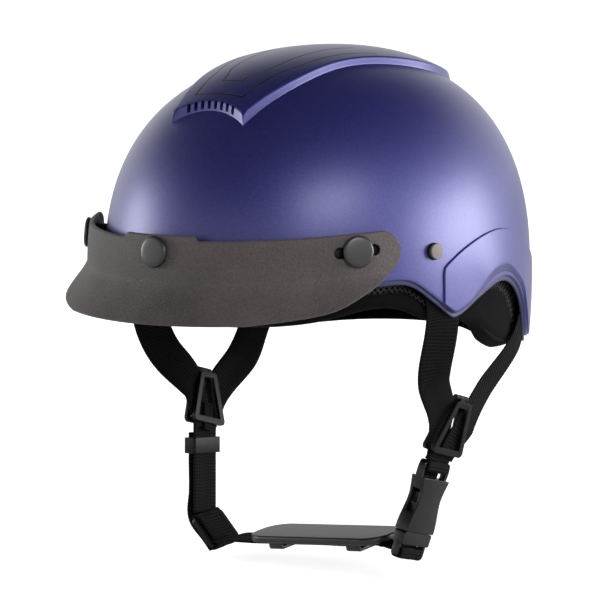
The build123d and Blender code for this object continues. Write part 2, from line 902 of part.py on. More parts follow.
plug_top = -buckle_length - seat_gap
arm_root = plug_top - plug_height / 2
bar_place = plug_top - plug_height - plug_slot - buckle_bar / 2
arm_room = arm_thickness / 2 + arm_clearance
with BuildPart() as buckle_plug:
    with BuildSketch(buckle):
        with Locations((0, plug_top - plug_height / 2)):
            RectangleRounded(buckle_width, plug_height, plug_round)
    extrude(amount=plug_thickness / 2, both=True)
    with BuildSketch(buckle):
        for hand in (-1, 1):
            with Locations((hand * arm_place, arm_root)):
                Circle(arm_root_diameter / 2 + arm_swing_room)
            with Locations((hand * arm_place, plug_top)):
                Rectangle(arm_root_diameter + 2 * arm_swing_room, plug_height)
    extrude(amount=arm_room, both=True, mode=Mode.SUBTRACT)
    with BuildSketch(buckle):
        for hand in (-1, 1):
            with Locations((hand * arm_place, arm_root)):
                Circle(arm_pin_diameter / 2)
    extrude(amount=plug_thickness / 2, both=True)
    with BuildSketch(buckle):
        with Locations((0, plug_top + tongue_length / 2 - plug_round)):
            Rectangle(tongue_width, tongue_length)
    extrude(amount=tongue_thickness / 2, both=True)
    with BuildSketch(buckle):
        with Locations((0, bar_place)):
            RectangleRounded(buckle_width, buckle_bar, plug_round)
        for hand in (-1, 1):
            with Locations((hand * (buckle_width - plug_cheek) / 2, (plug_top - plug_height + bar_place) / 2)):
                Rectangle(plug_cheek, plug_slot + buckle_bar)
    extrude(amount=buckle_bar_depth / 2, both=True)
save(buckle_plug.part, "buckle_plug")

for name, hand in (("front", -1), ("back", 1)):
    with BuildPart() as buckle_arm:
        with BuildSketch(buckle):
            with BuildLine():
                Polyline(
                    (hand * (arm_place - arm_width / 2), arm_root),
                    (hand * (arm_place - arm_width / 2), plug_top + arm_length - arm_width),
                    (hand * (arm_place + arm_width / 2), plug_top + arm_length),
                    (hand * (arm_reach - arm_width / 2), plug_top + arm_length - arm_width),
                    (hand * arm_reach, plug_top + arm_length - arm_head_height),
                    (hand * (arm_place + arm_width / 2), plug_top + arm_length - arm_head_height - arm_width),
                    (hand * (arm_place + arm_width / 2), arm_root),
                    close=True,
                )
            make_face()
            with Locations((hand * arm_place, arm_root)):
                Circle(arm_root_diameter / 2)
                Circle(arm_pin_diameter / 2 + hinge_clearance, mode=Mode.SUBTRACT)
        extrude(amount=arm_thickness / 2, both=True)
    save(buckle_arm.part, f"buckle_arm_{name}")

# Short doubled strap from the divider to the buckle's bar
top_bar_place = -buckle_bar / 2
link_start = divider.from_local_coords(Vector(0, 0, 0))
link_foot = buckle.from_local_coords(Vector(0, -buckle_bar, 0))
link_points = [link_start, link_foot]
bar_cut = Plane(buckle.from_local_coords(Vector(0, web_gap, 0)), x_dir=buckle.x_dir, z_dir=buckle.y_dir)
with BuildPart() as buckle_strap:
    add(band(link_points, [divider.z_dir, buckle.z_dir], thickness=2 * web_thickness))
    split(bisect_by=link_cut, keep=Keep.BOTTOM)
    split(bisect_by=bar_cut, keep=Keep.TOP)
    add(bar_loop(buckle, top_bar_place, buckle_bar, buckle_bar_depth))
save(buckle_strap.part, "buckle_strap")

# Wearer's right: side strap down to the slider, drawn on the left and mirrored
tilt = math.radians(slider_tilt)
slider = Plane(
    origin=(slider_out, -slider_fore, -slider_drop),
    x_dir=(0, 1, 0),
    z_dir=Vector(0, 1, 0).cross(Vector(math.cos(tilt), 0, math.sin(tilt))),
)
bar_pitch = (slider_length - slider_bar) / 2
with BuildPart() as strap_slider:
    with BuildSketch(slider):
        RectangleRounded(slider_width, slider_length, divider_corner)
        with GridLocations(0, bar_pitch, 1, 2):
            Rectangle(web_width + 2 * web_gap, bar_pitch - slider_bar, mode=Mode.SUBTRACT)
    extrude(amount=slider_thickness / 2, both=True)
save(to_the_right(strap_slider.part), "strap_slider")

side_start = link_start
side_foot = slider.from_local_coords(Vector(0, slider_length / 2 + web_gap + web_thickness / 2, 0))
side_line = hanging_plane((side_start + side_foot) / 2, side_start - side_foot)
slider_top = slider.from_local_coords(Vector(0, slider_length / 2 + web_gap, 0))
with BuildPart() as side_strap:
    add(band([side_start, side_foot], [side_line.z_dir] * 2))
    split(bisect_by=link_cut, keep=Keep.BOTTOM)
    split(bisect_by=Plane(slider_top, x_dir=slider.x_dir, z_dir=slider.y_dir), keep=Keep.TOP)
    add(bar_loop(slider, bar_pitch, slider_bar, slider_thickness))
save(to_the_right(side_strap.part), "side_strap")

# Free end of the strap, folded up outside the side strap
tail_level = slider_thickness / 2 + 3 * web_gap + 1.5 * web_thickness
tail_points = [
    slider.from_local_coords(Vector(0, -slider_length / 2, tail_level)),
    slider.from_local_coords(Vector(0, 0, tail_level)),
    slider.from_local_coords(Vector(0, slider_length / 2, tail_level)),
    side_line.from_local_coords(Vector(0, -tail_low, tail_out)),
    side_line.from_local_coords(Vector(0, 0, tail_out)),
    side_line.from_local_coords(Vector(0, tail_high, tail_out)),
]
tail = band(tail_points, [slider.z_dir] * 3 + [side_line.z_dir] * 3)
save(to_the_right(tail), "strap_tail")

# Keeper ring round the side strap and the free end
keeper = side_line.offset(tail_out / 2)
keeper_place = (-keeper_drop - keeper.origin.Z) / keeper.y_dir.Z
keeper_section = Plane(
    origin=keeper.from_local_coords(Vector(0, keeper_place - keeper_height / 2, 0)),
    x_dir=keeper.x_dir,
    z_dir=keeper.y_dir,
)
keeper_opening = tail_out + web_thickness + 2 * web_gap
with BuildPart() as strap_keeper:
    with BuildSketch(keeper_section):
        RectangleRounded(
            web_width + 2 * (web_gap + keeper_wall), keeper_opening + 2 * keeper_wall, keeper_wall
        )
        Rectangle(web_width + 2 * web_gap, keeper_opening, mode=Mode.SUBTRACT)
    extrude(amount=keeper_height)
save(to_the_right(strap_keeper.part), "strap_keeper")

# Chin strap from the plug's bar, straight under the cup, to the slider's lower bar
chin_left = Vector(chin_left_out, -chin_fore, -chin_left_drop)
chin_right = Vector(-chin_right_out, -chin_fore, -chin_right_drop)
along_chin = (chin_left - chin_right).normalized()
chin_line = Plane(
    origin=(chin_left + chin_right) / 2, x_dir=along_chin, z_dir=along_chin.cross(Vector(0, 1, 0))
)
mirrored_slider = Plane(
    origin=(-slider_out, -slider_fore, -slider_drop),
    x_dir=(0, 1, 0),
    z_dir=Vector(0, 1, 0).cross(Vector(-math.cos(tilt), 0, math.sin(tilt))),
)
plug_side = buckle.from_local_coords(Vector(0, bar_place, 0))
slider_side = mirrored_slider.from_local_coords(Vector(0, -bar_pitch, 0))
plug_cut = buckle.offset(-buckle_bar_depth / 2 - web_gap)
slider_cut = mirrored_slider.offset(slider_thickness / 2 + web_gap)
chin_points = [plug_side]
chin_points += [chin_left + (chin_right - chin_left) * step / chin_steps for step in range(chin_steps + 1)]
chin_points += [slider_side]
chin_facings = [Vector(0, -buckle.x_dir.Z, buckle.x_dir.Y)] + [chin_line.z_dir] * (chin_steps + 1)
chin_facings += [chin_line.z_dir]
with BuildPart() as chin_strap:
    add(band(chin_points, chin_facings))
    split(bisect_by=plug_cut, keep=Keep.BOTTOM)
    split(bisect_by=slider_cut, keep=Keep.TOP)
    add(bar_loop(buckle, bar_place, buckle_bar, buckle_bar_depth))
    add(bar_loop(mirrored_slider, -bar_pitch, slider_bar, slider_thickness))
save(chin_strap.part, "chin_strap")

# Chin cup: a rounded plate over the strap, with two bridges that hold it to the strap
cup_level = web_thickness / 2 + 2 * web_gap
cup = chin_line.offset(cup_level)
with BuildPart() as chin_cup:
    with BuildSketch(cup):
        with Locations((cup_offset, 0)):
            RectangleRounded(cup_length, cup_width, cup_corner)
    extrude(amount=cup_thickness)
    fillet(chin_cup.faces().sort_by(Axis.Z)[-1].edges(), cup_round)
    for hand in (-1, 1):
        bridge_section = Plane(
            origin=cup.from_local_coords(Vector(cup_offset + hand * bridge_spread - bridge_width / 2, 0, 0)),
            x_dir=cup.y_dir,
            z_dir=cup.x_dir,
        )
        with BuildSketch(bridge_section):
            with Locations((0, -cup_level)):
                RectangleRounded(
                    web_width + 2 * (web_gap + bridge_wall), 2 * (cup_level + bridge_wall), bridge_wall
                )
                Rectangle(web_width + 2 * web_gap, 2 * cup_level, mode=Mode.SUBTRACT)
        extrude(amount=bridge_width)
save(chin_cup.part, "chin_cup")
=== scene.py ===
"""Half shell helmet with a press-stud peak and a webbing harness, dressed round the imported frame."""

import logging
import math
from dataclasses import dataclass, field
from enum import Enum
from typing import Sequence

import bmesh
import bpy
import numpy as np
from mathutils import Matrix, Vector


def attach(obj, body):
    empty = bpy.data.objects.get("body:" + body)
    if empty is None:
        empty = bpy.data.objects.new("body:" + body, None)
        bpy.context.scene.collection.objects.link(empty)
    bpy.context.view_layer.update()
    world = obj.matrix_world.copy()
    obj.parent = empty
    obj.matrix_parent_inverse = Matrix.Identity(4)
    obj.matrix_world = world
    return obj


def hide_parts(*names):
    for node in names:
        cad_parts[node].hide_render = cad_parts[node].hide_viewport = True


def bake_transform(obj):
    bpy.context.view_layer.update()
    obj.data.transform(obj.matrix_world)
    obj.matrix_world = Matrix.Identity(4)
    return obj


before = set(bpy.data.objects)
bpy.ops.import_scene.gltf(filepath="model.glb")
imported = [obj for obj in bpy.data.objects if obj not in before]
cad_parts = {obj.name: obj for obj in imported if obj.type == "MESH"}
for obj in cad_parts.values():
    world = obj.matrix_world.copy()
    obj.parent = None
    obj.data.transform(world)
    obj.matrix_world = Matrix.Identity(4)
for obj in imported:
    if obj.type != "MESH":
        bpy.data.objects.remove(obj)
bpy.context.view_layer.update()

LOG = logging.getLogger("helmet")
MM = 0.001


class Body(Enum):
    """Moving bodies that the pieces ride on."""

    HELMET = "helmet"
    PLUG = "plug"
    ARM_FRONT = "arm_front"
    ARM_BACK = "arm_back"
    FLAP_LEFT = "flap_left"
    FLAP_RIGHT = "flap_right"
    CUP = "cup"
    KEEPER = "keeper"
    CAP_CENTRE = "cap_centre"
    CAP_LEFT = "cap_left"
    CAP_RIGHT = "cap_right"


class Side(Enum):
    """Sides of the helmet as the wearer sees them, with the sign of X."""

    LEFT = 1
    RIGHT = -1


# ---- Lines and fields ----


def lengths(line: np.ndarray) -> np.ndarray:
    """Distance along a line at each of its points."""
    return np.concatenate([[0.0], np.cumsum(np.linalg.norm(np.diff(line, axis=0), axis=1))])


def evenly(line: np.ndarray, count: int) -> np.ndarray:
    """Points spaced evenly along a line of straight legs.

    Args:
        line: Points of the line.
        count: How many points to give.

    Returns:
        The points, from one end of the line to the other.
    """
    reached = lengths(line)
    wanted = np.linspace(0, reached[-1], count)
    return np.stack([np.interp(wanted, reached, column) for column in line.T], axis=1)


def quarter_turn(steps: int) -> list[tuple[float, float]]:
    """What is left of a rounding's two legs at each step round a quarter circle.

    Args:
        steps: Steps of the quarter circle.

    Returns:
        The drop and the inset at each step, as shares of the rounding.
    """
    turns = [math.pi / 2 * step / steps for step in range(steps + 1)]
    return [(1 - math.cos(turn), 1 - math.sin(turn)) for turn in turns]


def smooth_line(points: Sequence[Sequence[float]], count: int) -> np.ndarray:
    """Natural cubic curve through points, sampled evenly along its length.

    Args:
        points: The points that the curve goes through.
        count: How many samples to return.

    Returns:
        The samples, one row each.
    """
    knots = np.array(points, float)
    steps = np.linalg.norm(np.diff(knots, axis=0), axis=1)
    along = lengths(knots)
    size = len(knots)
    system = np.zeros((size, size))
    right = np.zeros_like(knots)
    system[0, 0] = system[-1, -1] = 1.0
    for row in range(1, size - 1):
        system[row, row - 1 : row + 2] = (steps[row - 1], 2 * (steps[row - 1] + steps[row]), steps[row])
        ahead = (knots[row + 1] - knots[row]) / steps[row]
        behind = (knots[row] - knots[row - 1]) / steps[row - 1]
        right[row] = 6 * (ahead - behind)
    bend = np.linalg.solve(system, right)
    fine = np.linspace(0, along[-1], max(count * 4, 200))
    leg = np.clip(np.searchsorted(along, fine, side="right") - 1, 0, size - 2)
    gap = steps[leg][:, None]
    ahead = (along[leg + 1] - fine)[:, None]
    behind = (fine - along[leg])[:, None]
    curve = (bend[leg] * ahead**3 + bend[leg + 1] * behind**3) / (6 * gap)
    curve += (knots[leg] / gap - bend[leg] * gap / 6) * ahead
    curve += (knots[leg + 1] / gap - bend[leg + 1] * gap / 6) * behind
    return evenly(curve, count)


def ramp(value: np.ndarray, start: float, end: float) -> np.ndarray:
    """Smooth step from 0 at start to 1 at end."""
    share = np.clip((value - start) / (end - start), 0, 1)
    return share * share * (3 - 2 * share)


@dataclass(frozen=True)
class Place:
    """A place with its own directions, as a workbench plane has."""

    origin: Vector
    across: Vector
    up: Vector
    facing: Vector

    def at(self, across: float, up: float, out: float = 0.0) -> Vector:
        """Point from distances along the place's own directions, in millimetres."""
        return self.origin + self.across * across + self.up * up + self.facing * out

    @staticmethod
    def hanging(origin: Sequence[float], up: Sequence[float]) -> "Place":
        """Place whose up is given and which faces the wearer's left.

        Args:
            origin: Where it is.
            up: Its up, of any length.

        Returns:
            The place.
        """
        rise = Vector(up).normalized()
        facing = (Vector((1, 0, 0)) - rise * rise.x).normalized()
        return Place(Vector(origin), rise.cross(facing), rise, facing)


@dataclass(frozen=True)
class Dome:
    """Oval dome that the shell, foam and padding share, in millimetres."""

    half_width: float = 108.0
    front: float = 135.1
    back: float = 127.8
    height: float = 114.0
    handle: float = 0.645
    skirt_depth: float = 60.0
    skirt_draw: float = 4.3

    @property
    def reach(self) -> float:
        """Half the length of the widest ring."""
        return (self.front + self.back) / 2

    @property
    def centre(self) -> float:
        """Place of the oval's middle along the helmet."""
        return (self.back - self.front) / 2

    @property
    def stretch(self) -> float:
        """Length of the oval over its width."""
        return self.reach / self.half_width

    def profile(self, grow: float, count: int = 600) -> np.ndarray:
        """Radius, height and distance along the profile from the skirt to the crown.

        Args:
            grow: Offset from the shell's outer surface.
            count: Samples on the crown's part of the profile.

        Returns:
            Rows of radius, height and distance.
        """
        width = self.half_width + grow
        top = self.height + grow
        drop = np.linspace(-self.skirt_depth, 0, count // 3, endpoint=False)
        skirt = np.stack([width - self.skirt_draw * (drop / self.skirt_depth) ** 2, drop], axis=1)
        step = np.linspace(0, 1, count)
        rest = 1 - step
        radius = width * (rest**3 + 3 * rest**2 * step + 3 * rest * step**2 * self.handle)
        height = top * (3 * rest**2 * step * self.handle + 3 * rest * step**2 + step**3)
        line = np.vstack([skirt, np.stack([radius, height], axis=1)])
        return np.column_stack([line, lengths(line)])

    def radius(self, height: np.ndarray, grow: float) -> np.ndarray:
        """Radius in the round plan at a height on an offset surface."""
        table = self.profile(grow)
        return np.interp(height, table[:, 1], table[:, 0])

    def spread(self, bearing: np.ndarray, radius: np.ndarray, height: np.ndarray) -> np.ndarray:
        """Points from bearings in radians, radii in the round plan and heights.

        Args:
            bearing: Angles from the front to the left.
            radius: Radii in the round plan.
            height: Heights, or one for all.

        Returns:
            A point for each bearing.
        """
        out = radius * np.sin(bearing)
        along = self.centre - self.stretch * radius * np.cos(bearing)
        return np.stack([out, along, np.broadcast_to(height, out.shape)], axis=-1)

    def place(self, bearing: float, height: float, grow: float = 0.0) -> Place:
        """Place on the shell that faces out.

        Args:
            bearing: Angle from the front to the left, in degrees.
            height: Height on the shell.
            grow: Offset from the shell's outer surface.

        Returns:
            The place, with its up along the profile.
        """
        turn = math.radians(bearing)
        table = self.profile(0)
        probe = 1.5
        share = float(np.interp(height, table[:, 1], table[:, 0])) / self.half_width
        above = float(np.interp(height + probe, table[:, 1], table[:, 0])) / self.half_width
        below = float(np.interp(height - probe, table[:, 1], table[:, 0])) / self.half_width
        slope = (above - below) / (2 * probe)
        rim = Vector((self.half_width * math.sin(turn), -self.reach * math.cos(turn), 0))
        around = Vector((self.half_width * math.cos(turn), self.reach * math.sin(turn), 0))
        facing = around.cross(rim * slope + Vector((0, 0, 1))).normalized()
        origin = Vector((0, self.centre, height)) + rim * share + facing * grow
        around.normalize()
        return Place(origin, around, facing.cross(around), facing)


DOME = Dome()
QUARTER = quarter_turn(5)
PROFILE = DOME.profile(0.0)
PROFILE_HEIGHTS, PROFILE_RADII = PROFILE[:, 1], PROFILE[:, 0]
RIM_LINE = (
    (-150.0, 4.2), (-110.0, 4.2), (-74.5, 4.4), (-66.0, 4.2), (-59.0, 3.3), (-52.8, 0.4), (-43.7, -6.6),
    (-37.1, -11.9), (-31.0, -16.8), (-28.6, -18.4), (-26.6, -18.9), (-24.4, -18.6), (-18.0, -16.8), (-10.3, -13.5),
    (0.1, -10.0), (10.4, -7.4), (21.1, -6.9), (32.0, -10.4), (45.7, -20.3), (56.5, -34.0), (61.5, -42.0),
    (67.0, -48.0), (74.0, -51.0), (86.4, -51.5), (110.0, -51.5), (140.0, -51.5),
)
CUSHION_LINE = (
    (-160.0, -16.7), (-118.8, -16.5), (-103.7, -16.7), (-86.4, -14.6), (-73.0, -12.0), (-53.0, -14.0),
    (-40.0, -20.5), (-17.0, -24.9), (-2.0, -31.0), (11.0, -40.0), (27.0, -48.0), (39.0, -51.3),
    (61.0, -54.0), (86.4, -54.5), (102.6, -54.5), (150.0, -54.5),
)


# ---- Finishes ----


def new_group(
    name: str, inputs: dict[str, float], outputs: dict[str, str]
) -> tuple["Mixer", bpy.types.Node, bpy.types.Node]:
    """Shader node group with named value inputs and typed outputs.

    Args:
        name: Name of the group.
        inputs: Default value of each float input.
        outputs: Socket type of each output.

    Returns:
        The Mixer of the group's tree, and its input and output nodes.
    """
    tree = bpy.data.node_groups.new(name, "ShaderNodeTree")
    for label, value in inputs.items():
        socket = tree.interface.new_socket(label, in_out="INPUT", socket_type="NodeSocketFloat")
        socket.default_value = value
    for label, kind in outputs.items():
        tree.interface.new_socket(label, in_out="OUTPUT", socket_type=kind)
    return Mixer(tree), tree.nodes.new("NodeGroupInput"), tree.nodes.new("NodeGroupOutput")


class Mixer:
    """Adds nodes to a tree in few words."""

    def __init__(self, tree: bpy.types.NodeTree) -> None:
        """Keep the tree that the nodes go in."""
        self.tree = tree

    def put(self, kind: str, **values: object) -> bpy.types.Node:
        """Add a node and set its properties, or its inputs where a name isn't a property."""
        return self.fill(self.tree.nodes.new(kind), **values)

    def fill(self, node: bpy.types.Node, **values: object) -> bpy.types.Node:
        """Set a node's properties, or its inputs where a name isn't a property.

        Args:
            node: The node to set.
            values: Properties or inputs, with _ for a space in an input's name.

        Returns:
            The same node.
        """
        for name, value in values.items():
            if hasattr(node, name):
                setattr(node, name, value)
            else:
                node.inputs[name.replace("_", " ")].default_value = value
        return node

    def join(self, start: bpy.types.NodeSocket, end: bpy.types.NodeSocket) -> None:
        """Link two sockets."""
        self.tree.links.new(start, end)

    def math(self, operation: str, first: object, second: object = 0.0) -> bpy.types.NodeSocket:
        """Result of a Math node on sockets or numbers.

        Args:
            operation: What the node works out.
            first: First socket or number.
            second: Second socket or number.

        Returns:
            The node's output.
        """
        node = self.put("ShaderNodeMath", operation=operation)
        for place, value in enumerate((first, second)):
            if isinstance(value, bpy.types.NodeSocket):
                self.join(value, node.inputs[place])
            else:
                node.inputs[place].default_value = value
        return node.outputs[0]

    def plus(self, first: object, second: object) -> bpy.types.NodeSocket:
        """Sum of two sockets or numbers."""
        return self.math("ADD", first, second)

    def minus(self, first: object, second: object) -> bpy.types.NodeSocket:
        """Difference of two sockets or numbers."""
        return self.math("SUBTRACT", first, second)

    def times(self, first: object, second: object) -> bpy.types.NodeSocket:
        """Product of two sockets or numbers."""
        return self.math("MULTIPLY", first, second)

    def blend(self, factor: object, first: object, second: object) -> bpy.types.NodeSocket:
        """Result of a colour Mix node on sockets or colours.

        Args:
            factor: Socket or number from zero to one.
            first: Socket or colour at zero.
            second: Socket or colour at one.

        Returns:
            The mixed colour's socket.
        """
        node = self.put("ShaderNodeMix", data_type="RGBA")
        for place, value in ((0, factor), (6, first), (7, second)):
            if isinstance(value, bpy.types.NodeSocket):
                self.join(value, node.inputs[place])
            elif place == 0:
                node.inputs[0].default_value = value
            else:
                node.inputs[place].default_value = (*value, 1.0)
        return node.outputs[2]

    def noise(self, place: bpy.types.NodeSocket, **values: float) -> bpy.types.Node:
        """Noise at the places that a socket gives.

        Args:
            place: Coordinates.
            values: The noise's own settings.

        Returns:
            The noise node.
        """
        node = self.put("ShaderNodeTexNoise", **values)
        self.join(place, node.inputs["Vector"])
        return node

    def bump(self, height: bpy.types.NodeSocket, **values: object) -> bpy.types.Node:
        """Bump node raised by a height.

        Args:
            height: Height to raise it by.
            values: The bump's own settings.

        Returns:
            The bump node.
        """
        node = self.put("ShaderNodeBump", **values)
        self.join(height, node.inputs["Height"])
        return node


def grain_group() -> None:
    """Moulded grain: a fine bumpy skin with slow changes of tone."""
    mix, inside, outside = new_group(
        "moulded_grain",
        {"Size": 900.0, "Depth": 0.1, "Tone": 0.1},
        {"Tone": "NodeSocketFloat", "Normal": "NodeSocketVector"},
    )
    place = mix.put("ShaderNodeTexCoord").outputs["Object"]
    fine = mix.noise(place, Detail=4.0, Roughness=0.6)
    slow = mix.noise(place, Scale=18.0, Detail=3.0)
    mix.join(inside.outputs["Size"], fine.inputs["Scale"])
    bump = mix.bump(fine.outputs["Fac"], Distance=0.001)
    mix.join(inside.outputs["Depth"], bump.inputs["Strength"])
    both = mix.plus(mix.times(fine.outputs["Fac"], 0.5), mix.times(slow.outputs["Fac"], 0.5))
    swing = mix.times(mix.minus(both, 0.5), inside.outputs["Tone"])
    mix.join(mix.plus(swing, 0.5), outside.inputs["Tone"])
    mix.join(bump.outputs["Normal"], outside.inputs["Normal"])


def flake_group() -> None:
    """Metal flake in paint: small cells, each with its own brightness and tilt."""
    mix, inside, outside = new_group(
        "paint_flake",
        {"Size": 1500.0, "Tilt": 0.1},
        {"Sparkle": "NodeSocketFloat", "Normal": "NodeSocketVector"},
    )
    place = mix.put("ShaderNodeTexCoord")
    cells = mix.put("ShaderNodeTexVoronoi")
    mix.join(place.outputs["Object"], cells.inputs["Vector"])
    mix.join(inside.outputs["Size"], cells.inputs["Scale"])
    split = mix.put("ShaderNodeSeparateColor")
    mix.join(cells.outputs["Color"], split.inputs[0])
    bump = mix.bump(split.outputs[0], Distance=0.0004)
    mix.join(inside.outputs["Tilt"], bump.inputs["Strength"])
    mix.join(split.outputs[1], outside.inputs["Sparkle"])
    mix.join(bump.outputs["Normal"], outside.inputs["Normal"])


def weave_group() -> None:
    """Woven cloth on the piece's own map: ribs along V, threads along U and loose fuzz."""
    mix, inside, outside = new_group(
        "woven_ribs",
        {"Ribs": 700.0, "Threads": 24.0, "Depth": 0.4},
        {"Tone": "NodeSocketFloat", "Normal": "NodeSocketVector"},
    )
    place = mix.put("ShaderNodeTexCoord")
    split = mix.put("ShaderNodeSeparateXYZ")
    mix.join(place.outputs["UV"], split.inputs[0])
    rib, thread = (
        mix.math("SINE", mix.times(mix.times(split.outputs[axis], inside.outputs[count]), 2 * math.pi))
        for axis, count in ((1, "Ribs"), (0, "Threads"))
    )
    fuzz = mix.noise(place.outputs["Object"], Scale=2600.0, Detail=3.0, Roughness=0.7)
    weave = mix.plus(mix.times(rib, 0.32), mix.times(thread, 0.12))
    height = mix.plus(weave, mix.times(fuzz.outputs["Fac"], 0.5))
    bump = mix.bump(height, Distance=0.0005)
    mix.join(inside.outputs["Depth"], bump.inputs["Strength"])
    mix.join(mix.plus(mix.times(height, 0.6), 0.25), outside.inputs["Tone"])
    mix.join(bump.outputs["Normal"], outside.inputs["Normal"])


def look(finish: str) -> str:
    """Name of a finish's material, apart from the plain one that the CAD brings."""
    return f"{finish}_look"


def new_material(finish: str) -> tuple[bpy.types.Material, Mixer, bpy.types.Node]:
    """Start the material of a finish.

    Args:
        finish: Name of the finish.

    Returns:
        The material, the Mixer of its tree and its Principled shader.
    """
    material = bpy.data.materials.new(look(finish))
    material.use_nodes = True
    return material, Mixer(material.node_tree), material.node_tree.nodes["Principled BSDF"]


def grain(size: float, depth: float, tone: float) -> dict[str, float]:
    """Settings of a moulded grain."""
    return {"Size": size, "Depth": depth, "Tone": tone}


@dataclass(frozen=True)
class Finish:
    """Moulded or woven finish with its colours and the group that gives it detail."""

    name: str
    dark: tuple[float, float, float]
    light: tuple[float, float, float]
    roughness: float
    specular: float
    settings: dict[str, float]
    group: str = "moulded_grain"
    metallic: float = 0.0

    def build(self) -> bpy.types.Material:
        """Put the group's tone and normal on a Principled shader.

        Returns:
            The material.
        """
        material, mix, shader = new_material(self.name)
        detail = mix.put("ShaderNodeGroup", node_tree=bpy.data.node_groups[self.group], **self.settings)
        mix.join(mix.blend(detail.outputs["Tone"], self.dark, self.light), shader.inputs["Base Color"])
        mix.join(detail.outputs["Normal"], shader.inputs["Normal"])
        mix.fill(shader, Roughness=self.roughness, Metallic=self.metallic, Specular_IOR_Level=self.specular)
        return material


@dataclass(frozen=True)
class ShellPaint:
    """Satin paint with fine metal flake, black slits and two fine grooves on the crown, in metres.

    The slits, and a painted shade on the shell's skirt below the rim, come from a mark on the mesh; the grooves are
    drawn on the surface's own coordinates and painted black as painted shade.
    """

    deep: tuple[float, float, float] = (0.006, 0.0065, 0.1)
    bright: tuple[float, float, float] = (0.028, 0.028, 0.235)
    # Black for the slits, and for the painted shade in the grooves and on the skirt.
    black: tuple[float, float, float] = (0.004, 0.004, 0.006)
    metallic: float = 0.55
    flake_size: float = 1700.0
    flake_tilt: float = 0.16
    groove_half: float = 0.0006
    groove_sink: float = 0.0009
    groove_coat: float = 0.8
    groove_floor: float = 0.075
    outer_groove: tuple[tuple[float, float], ...] = (
        (-84.0, 16.0), (-73.0, 18.0), (-62.0, 20.0), (-47.0, 24.0), (-17.0, 29.0), (7.0, 37.0),
    )
    inner_groove: tuple[tuple[float, float], ...] = (
        (-72.0, 6.5), (-54.0, 13.0), (-32.0, 15.0), (-12.0, 17.0), (7.0, 22.0),
    )
    groove_front: float = -90.0
    groove_length: float = 110.0
    groove_width: float = 50.0

    def grooves(self, mix: Mixer, place: bpy.types.NodeSocket) -> bpy.types.NodeSocket:
        """Mask of the two arrow grooves on the crown, which are painted black as painted shade over their bump.

        Args:
            mix: Tree that takes the nodes.
            place: The surface's own coordinates.

        Returns:
            One in the grooves and zero elsewhere.
        """
        split = mix.put("ShaderNodeSeparateXYZ")
        mix.join(place, split.inputs[0])
        out, back = mix.math("ABSOLUTE", split.outputs[0]), split.outputs[1]
        share = mix.math("DIVIDE", mix.minus(back, self.groove_front * MM), self.groove_length * MM)
        total: object = 0.0
        for line in (self.outer_groove, self.inner_groove):
            bend = mix.put("ShaderNodeFloatCurve")
            points = bend.mapping.curves[0].points
            knots = [
                ((along - self.groove_front) / self.groove_length, wide / self.groove_width) for along, wide in line
            ]
            knots = [(0.0, knots[0][1]), *knots, (1.0, min(knots[-1][1] * 1.3, 1.0))]
            while len(points) < len(knots):
                points.new(0.5, 0.5)
            for point, knot in zip(points, knots):
                point.location = knot
            bend.mapping.update()
            mix.join(share, bend.inputs["Value"])
            wide = mix.times(bend.outputs[0], self.groove_width * MM)
            front, rear = line[0][0] * MM, line[-1][0] * MM
            aside = mix.math("ABSOLUTE", mix.minus(out, wide))
            ahead = mix.math("ABSOLUTE", mix.minus(back, front))
            behind = mix.math("GREATER_THAN", back, front - self.groove_half)
            side = mix.times(self.near(mix, aside), mix.times(behind, mix.math("LESS_THAN", back, rear)))
            cross = mix.times(self.near(mix, ahead), mix.math("LESS_THAN", out, line[0][1] * MM))
            total = mix.math("MAXIMUM", total, mix.math("MAXIMUM", side, cross))
        return mix.times(total, mix.math("GREATER_THAN", split.outputs[2], self.groove_floor))

    def near(self, mix: Mixer, gap: bpy.types.NodeSocket) -> bpy.types.NodeSocket:
        """Mask of one line of a groove, with soft sides.

        Args:
            mix: Tree that takes the nodes.
            gap: Distance from the groove's line, in metres.

        Returns:
            One on the line and zero past the groove's half width.
        """
        start, end = 0.5 * self.groove_half, 1.4 * self.groove_half
        fall = mix.put(
            "ShaderNodeMapRange", interpolation_type="SMOOTHSTEP", From_Min=start, From_Max=end, To_Min=1.0, To_Max=0.0
        )
        mix.join(gap, fall.inputs["Value"])
        return fall.outputs[0]

    def build(self) -> bpy.types.Material:
        """Read the mark of the lip's slits and the skirt's painted shade, and draw the grooves in black as painted
        shade.

        Returns:
            The material.
        """
        material, mix, shader = new_material("shell_paint")
        group = bpy.data.node_groups["paint_flake"]
        flake = mix.put("ShaderNodeGroup", node_tree=group, Size=self.flake_size, Tilt=self.flake_tilt)
        place = mix.put("ShaderNodeTexCoord").outputs["Object"]
        cloud = mix.noise(place, Scale=700.0, Detail=3.0, Roughness=0.7)
        speck = mix.plus(mix.times(flake.outputs["Sparkle"], 0.5), mix.times(cloud.outputs["Fac"], 0.5))
        groove = self.grooves(mix, place)
        slit = mix.put("ShaderNodeAttribute", attribute_name="slit").outputs["Fac"]
        # The grooves are painted black: a painted shade in the fine grooves.
        with_groove_shade = mix.blend(groove, mix.blend(speck, self.deep, self.bright), self.black)
        mix.join(mix.blend(slit, with_groove_shade, self.black), shader.inputs["Base Color"])
        sink = mix.bump(groove, Distance=self.groove_sink, Strength=0.9, invert=True)
        mix.join(flake.outputs["Normal"], sink.inputs["Normal"])
        mix.join(sink.outputs["Normal"], shader.inputs["Normal"])
        solid = mix.minus(1.0, slit)
        mix.join(mix.times(solid, self.metallic), shader.inputs["Metallic"])
        coat = mix.times(solid, mix.minus(1.0, mix.times(groove, self.groove_coat)))
        mix.join(coat, shader.inputs["Coat Weight"])
        mix.fill(shader, Roughness=0.5, Specular_IOR_Level=0.5, Coat_Roughness=0.38, Coat_IOR=1.5)
        return material


